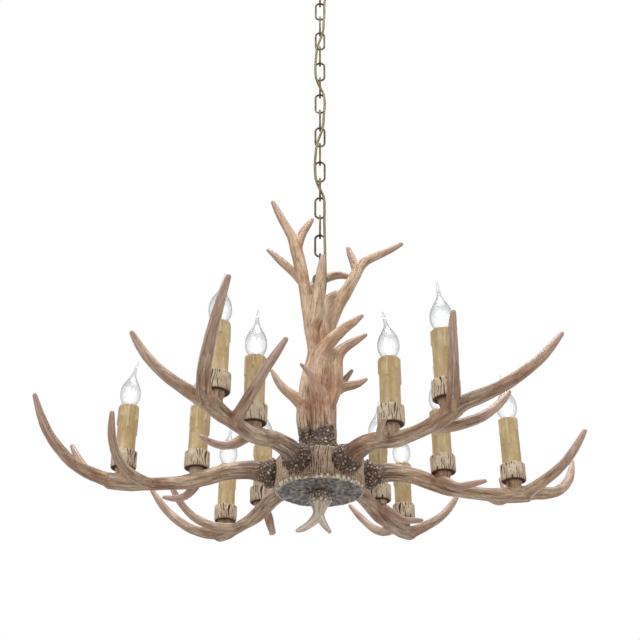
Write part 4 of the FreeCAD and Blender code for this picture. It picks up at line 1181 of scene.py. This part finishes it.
def draw_cord(points, name, fineness):
    """Round cord along the line; its finish reads the place round and along it."""
    spots = cord_line(points, fineness)
    heads = headings(spots)
    side = Vector((0, 1, 0))
    shell, faces, grain_at = [], [], []
    walked = 0.0
    for i, (spot, head) in enumerate(zip(spots, heads)):
        side = (side - head * side.dot(head)).normalized()
        other = head.cross(side)
        walked += (spot - spots[i - 1]).length if i else 0.0
        for k in range(CORD_SIDES):
            angle = 2 * math.pi * k / CORD_SIDES
            shell.append(spot + (side * math.cos(angle) + other * math.sin(angle)) * CORD_R * MM)
            grain_at.append((math.cos(angle), math.sin(angle), walked))
            if i:
                low = (i - 1) * CORD_SIDES
                turn = (k + 1) % CORD_SIDES
                faces.append((low + k, low + turn, low + CORD_SIDES + turn, low + CORD_SIDES + k))
    faces.append(tuple(range(CORD_SIDES))[::-1])
    faces.append(tuple(range(len(shell) - CORD_SIDES, len(shell))))
    mesh = bpy.data.meshes.new(name)
    mesh.from_pydata(shell, [], faces)
    cord = added(name, mesh)
    note(cord, "grain", grain_at)
    coat(cord, "cord_jacket")
    smooth_faces(cord, 60)
    return cord


def make_cord():
    weave = [(x, y, LINK_TWO_Z - (number - 2) * LINK_PITCH + rise) for x, y, number, rise in CORD_WEAVE]
    column = [(x, y, HUB_Z + up) for x, y, up in CORD_IN_COLUMN]
    above = draw_cord(CORD_ABOVE, "cord_above", 10)
    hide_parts("cord_in_canopy")
    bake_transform(above)
    below = draw_cord(list(CORD_BELOW) + weave + column, "cord_below", 12)
    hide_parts("cord_at_top_link", "supply_cord")
    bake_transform(below)


# ======== stage, light and camera
FLOOR_Z = -2.6
FLOOR_SIZE = 30
# The floor's glow where it is seen, the world's light, and what it adds where it is seen.
FLOOR_SEEN = 0.62
WORLD_LIGHT = 0.30
WORLD_SEEN = 0.70
# Name, place, aim, size in metres and power in watts of each lamp.
LAMPS = (
    ("key", (-1.6, -2.4, 0.4), (0, 0, -1.0), 1.1, 50),
    ("fill", (2.4, -1.6, -0.5), (0, 0, -1.1), 1.2, 20),
    ("top", (0.2, -0.2, 1.3), (0, 0, -1.1), 1.4, 66),
)
# The camera looks up from below the piece.
CAMERA_SPOT = (0, -1.5928, -1.8332)
CAMERA_TILT = 119.576
CAMERA_LENS = 57.97
CAMERA_SENSOR = 36
CAMERA_REACH = 40


def seen_rays(tree):
    """1 for what the camera sees, straight on, in metal or through glass."""
    path = node(tree, "ShaderNodeLightPath")
    shine = maths("MAXIMUM", path.outputs["Is Glossy Ray"], path.outputs["Is Transmission Ray"])
    return maths("MAXIMUM", path.outputs["Is Camera Ray"], shine)


def make_stage():
    deselect()
    bpy.ops.mesh.primitive_plane_add(size=FLOOR_SIZE, location=(0, 0, FLOOR_Z))
    floor = bpy.context.object
    floor.name = "floor"
    finish, tree, shader = new_finish("pale_floor", roughness=0.9)
    pale = ramp(speckle(tree, 3, 3), ((0.3, "e9e8e5"), (0.7, "f1f0ee")))
    feed(pale, shader, "Base Color")
    feed(pale, shader, "Emission Color")
    feed(times(seen_rays(tree), FLOOR_SEEN), shader, "Emission Strength")
    floor.data.materials.append(finish)


def make_lights():
    world = bpy.data.worlds.new("studio")
    bpy.context.scene.world = world
    world.use_nodes = True
    tree = world.node_tree
    background = tree.nodes["Background"]
    background.inputs["Color"].default_value = (1, 1, 1, 1)
    strength = plus(WORLD_LIGHT, times(seen_rays(tree), WORLD_SEEN))
    feed(strength, background, "Strength")
    for name, spot, aim, size, power in LAMPS:
        lamp = bpy.data.lights.new(name, "AREA")
        lamp.size = size
        lamp.energy = power
        holder = added(name, lamp)
        holder.location = spot
        holder.rotation_euler = (Vector(aim) - Vector(spot)).to_track_quat("-Z", "Y").to_euler()


def make_camera():
    lens = bpy.data.cameras.new("camera")
    lens.sensor_width = CAMERA_SENSOR
    lens.lens = CAMERA_LENS
    lens.clip_end = CAMERA_REACH
    camera = added("camera", lens)
    camera.location = CAMERA_SPOT
    camera.rotation_euler = (math.radians(CAMERA_TILT), 0, 0)
    bpy.context.scene.camera = camera
    bpy.context.scene.view_settings.view_transform = "Standard"


def main():
    slots = {part["node"]: part["material_slot"] for part in frame["record"]["subparts"]}
    for name, piece in frame["nodes"].items():
        coat(piece, slots[name])
    make_arms()
    make_column()
    make_finial()
    make_drum()
    make_plate()
    make_cups()
    make_sleeves()
    make_bulbs()
    make_cord()
    make_stage()
    make_lights()
    make_camera()


main()
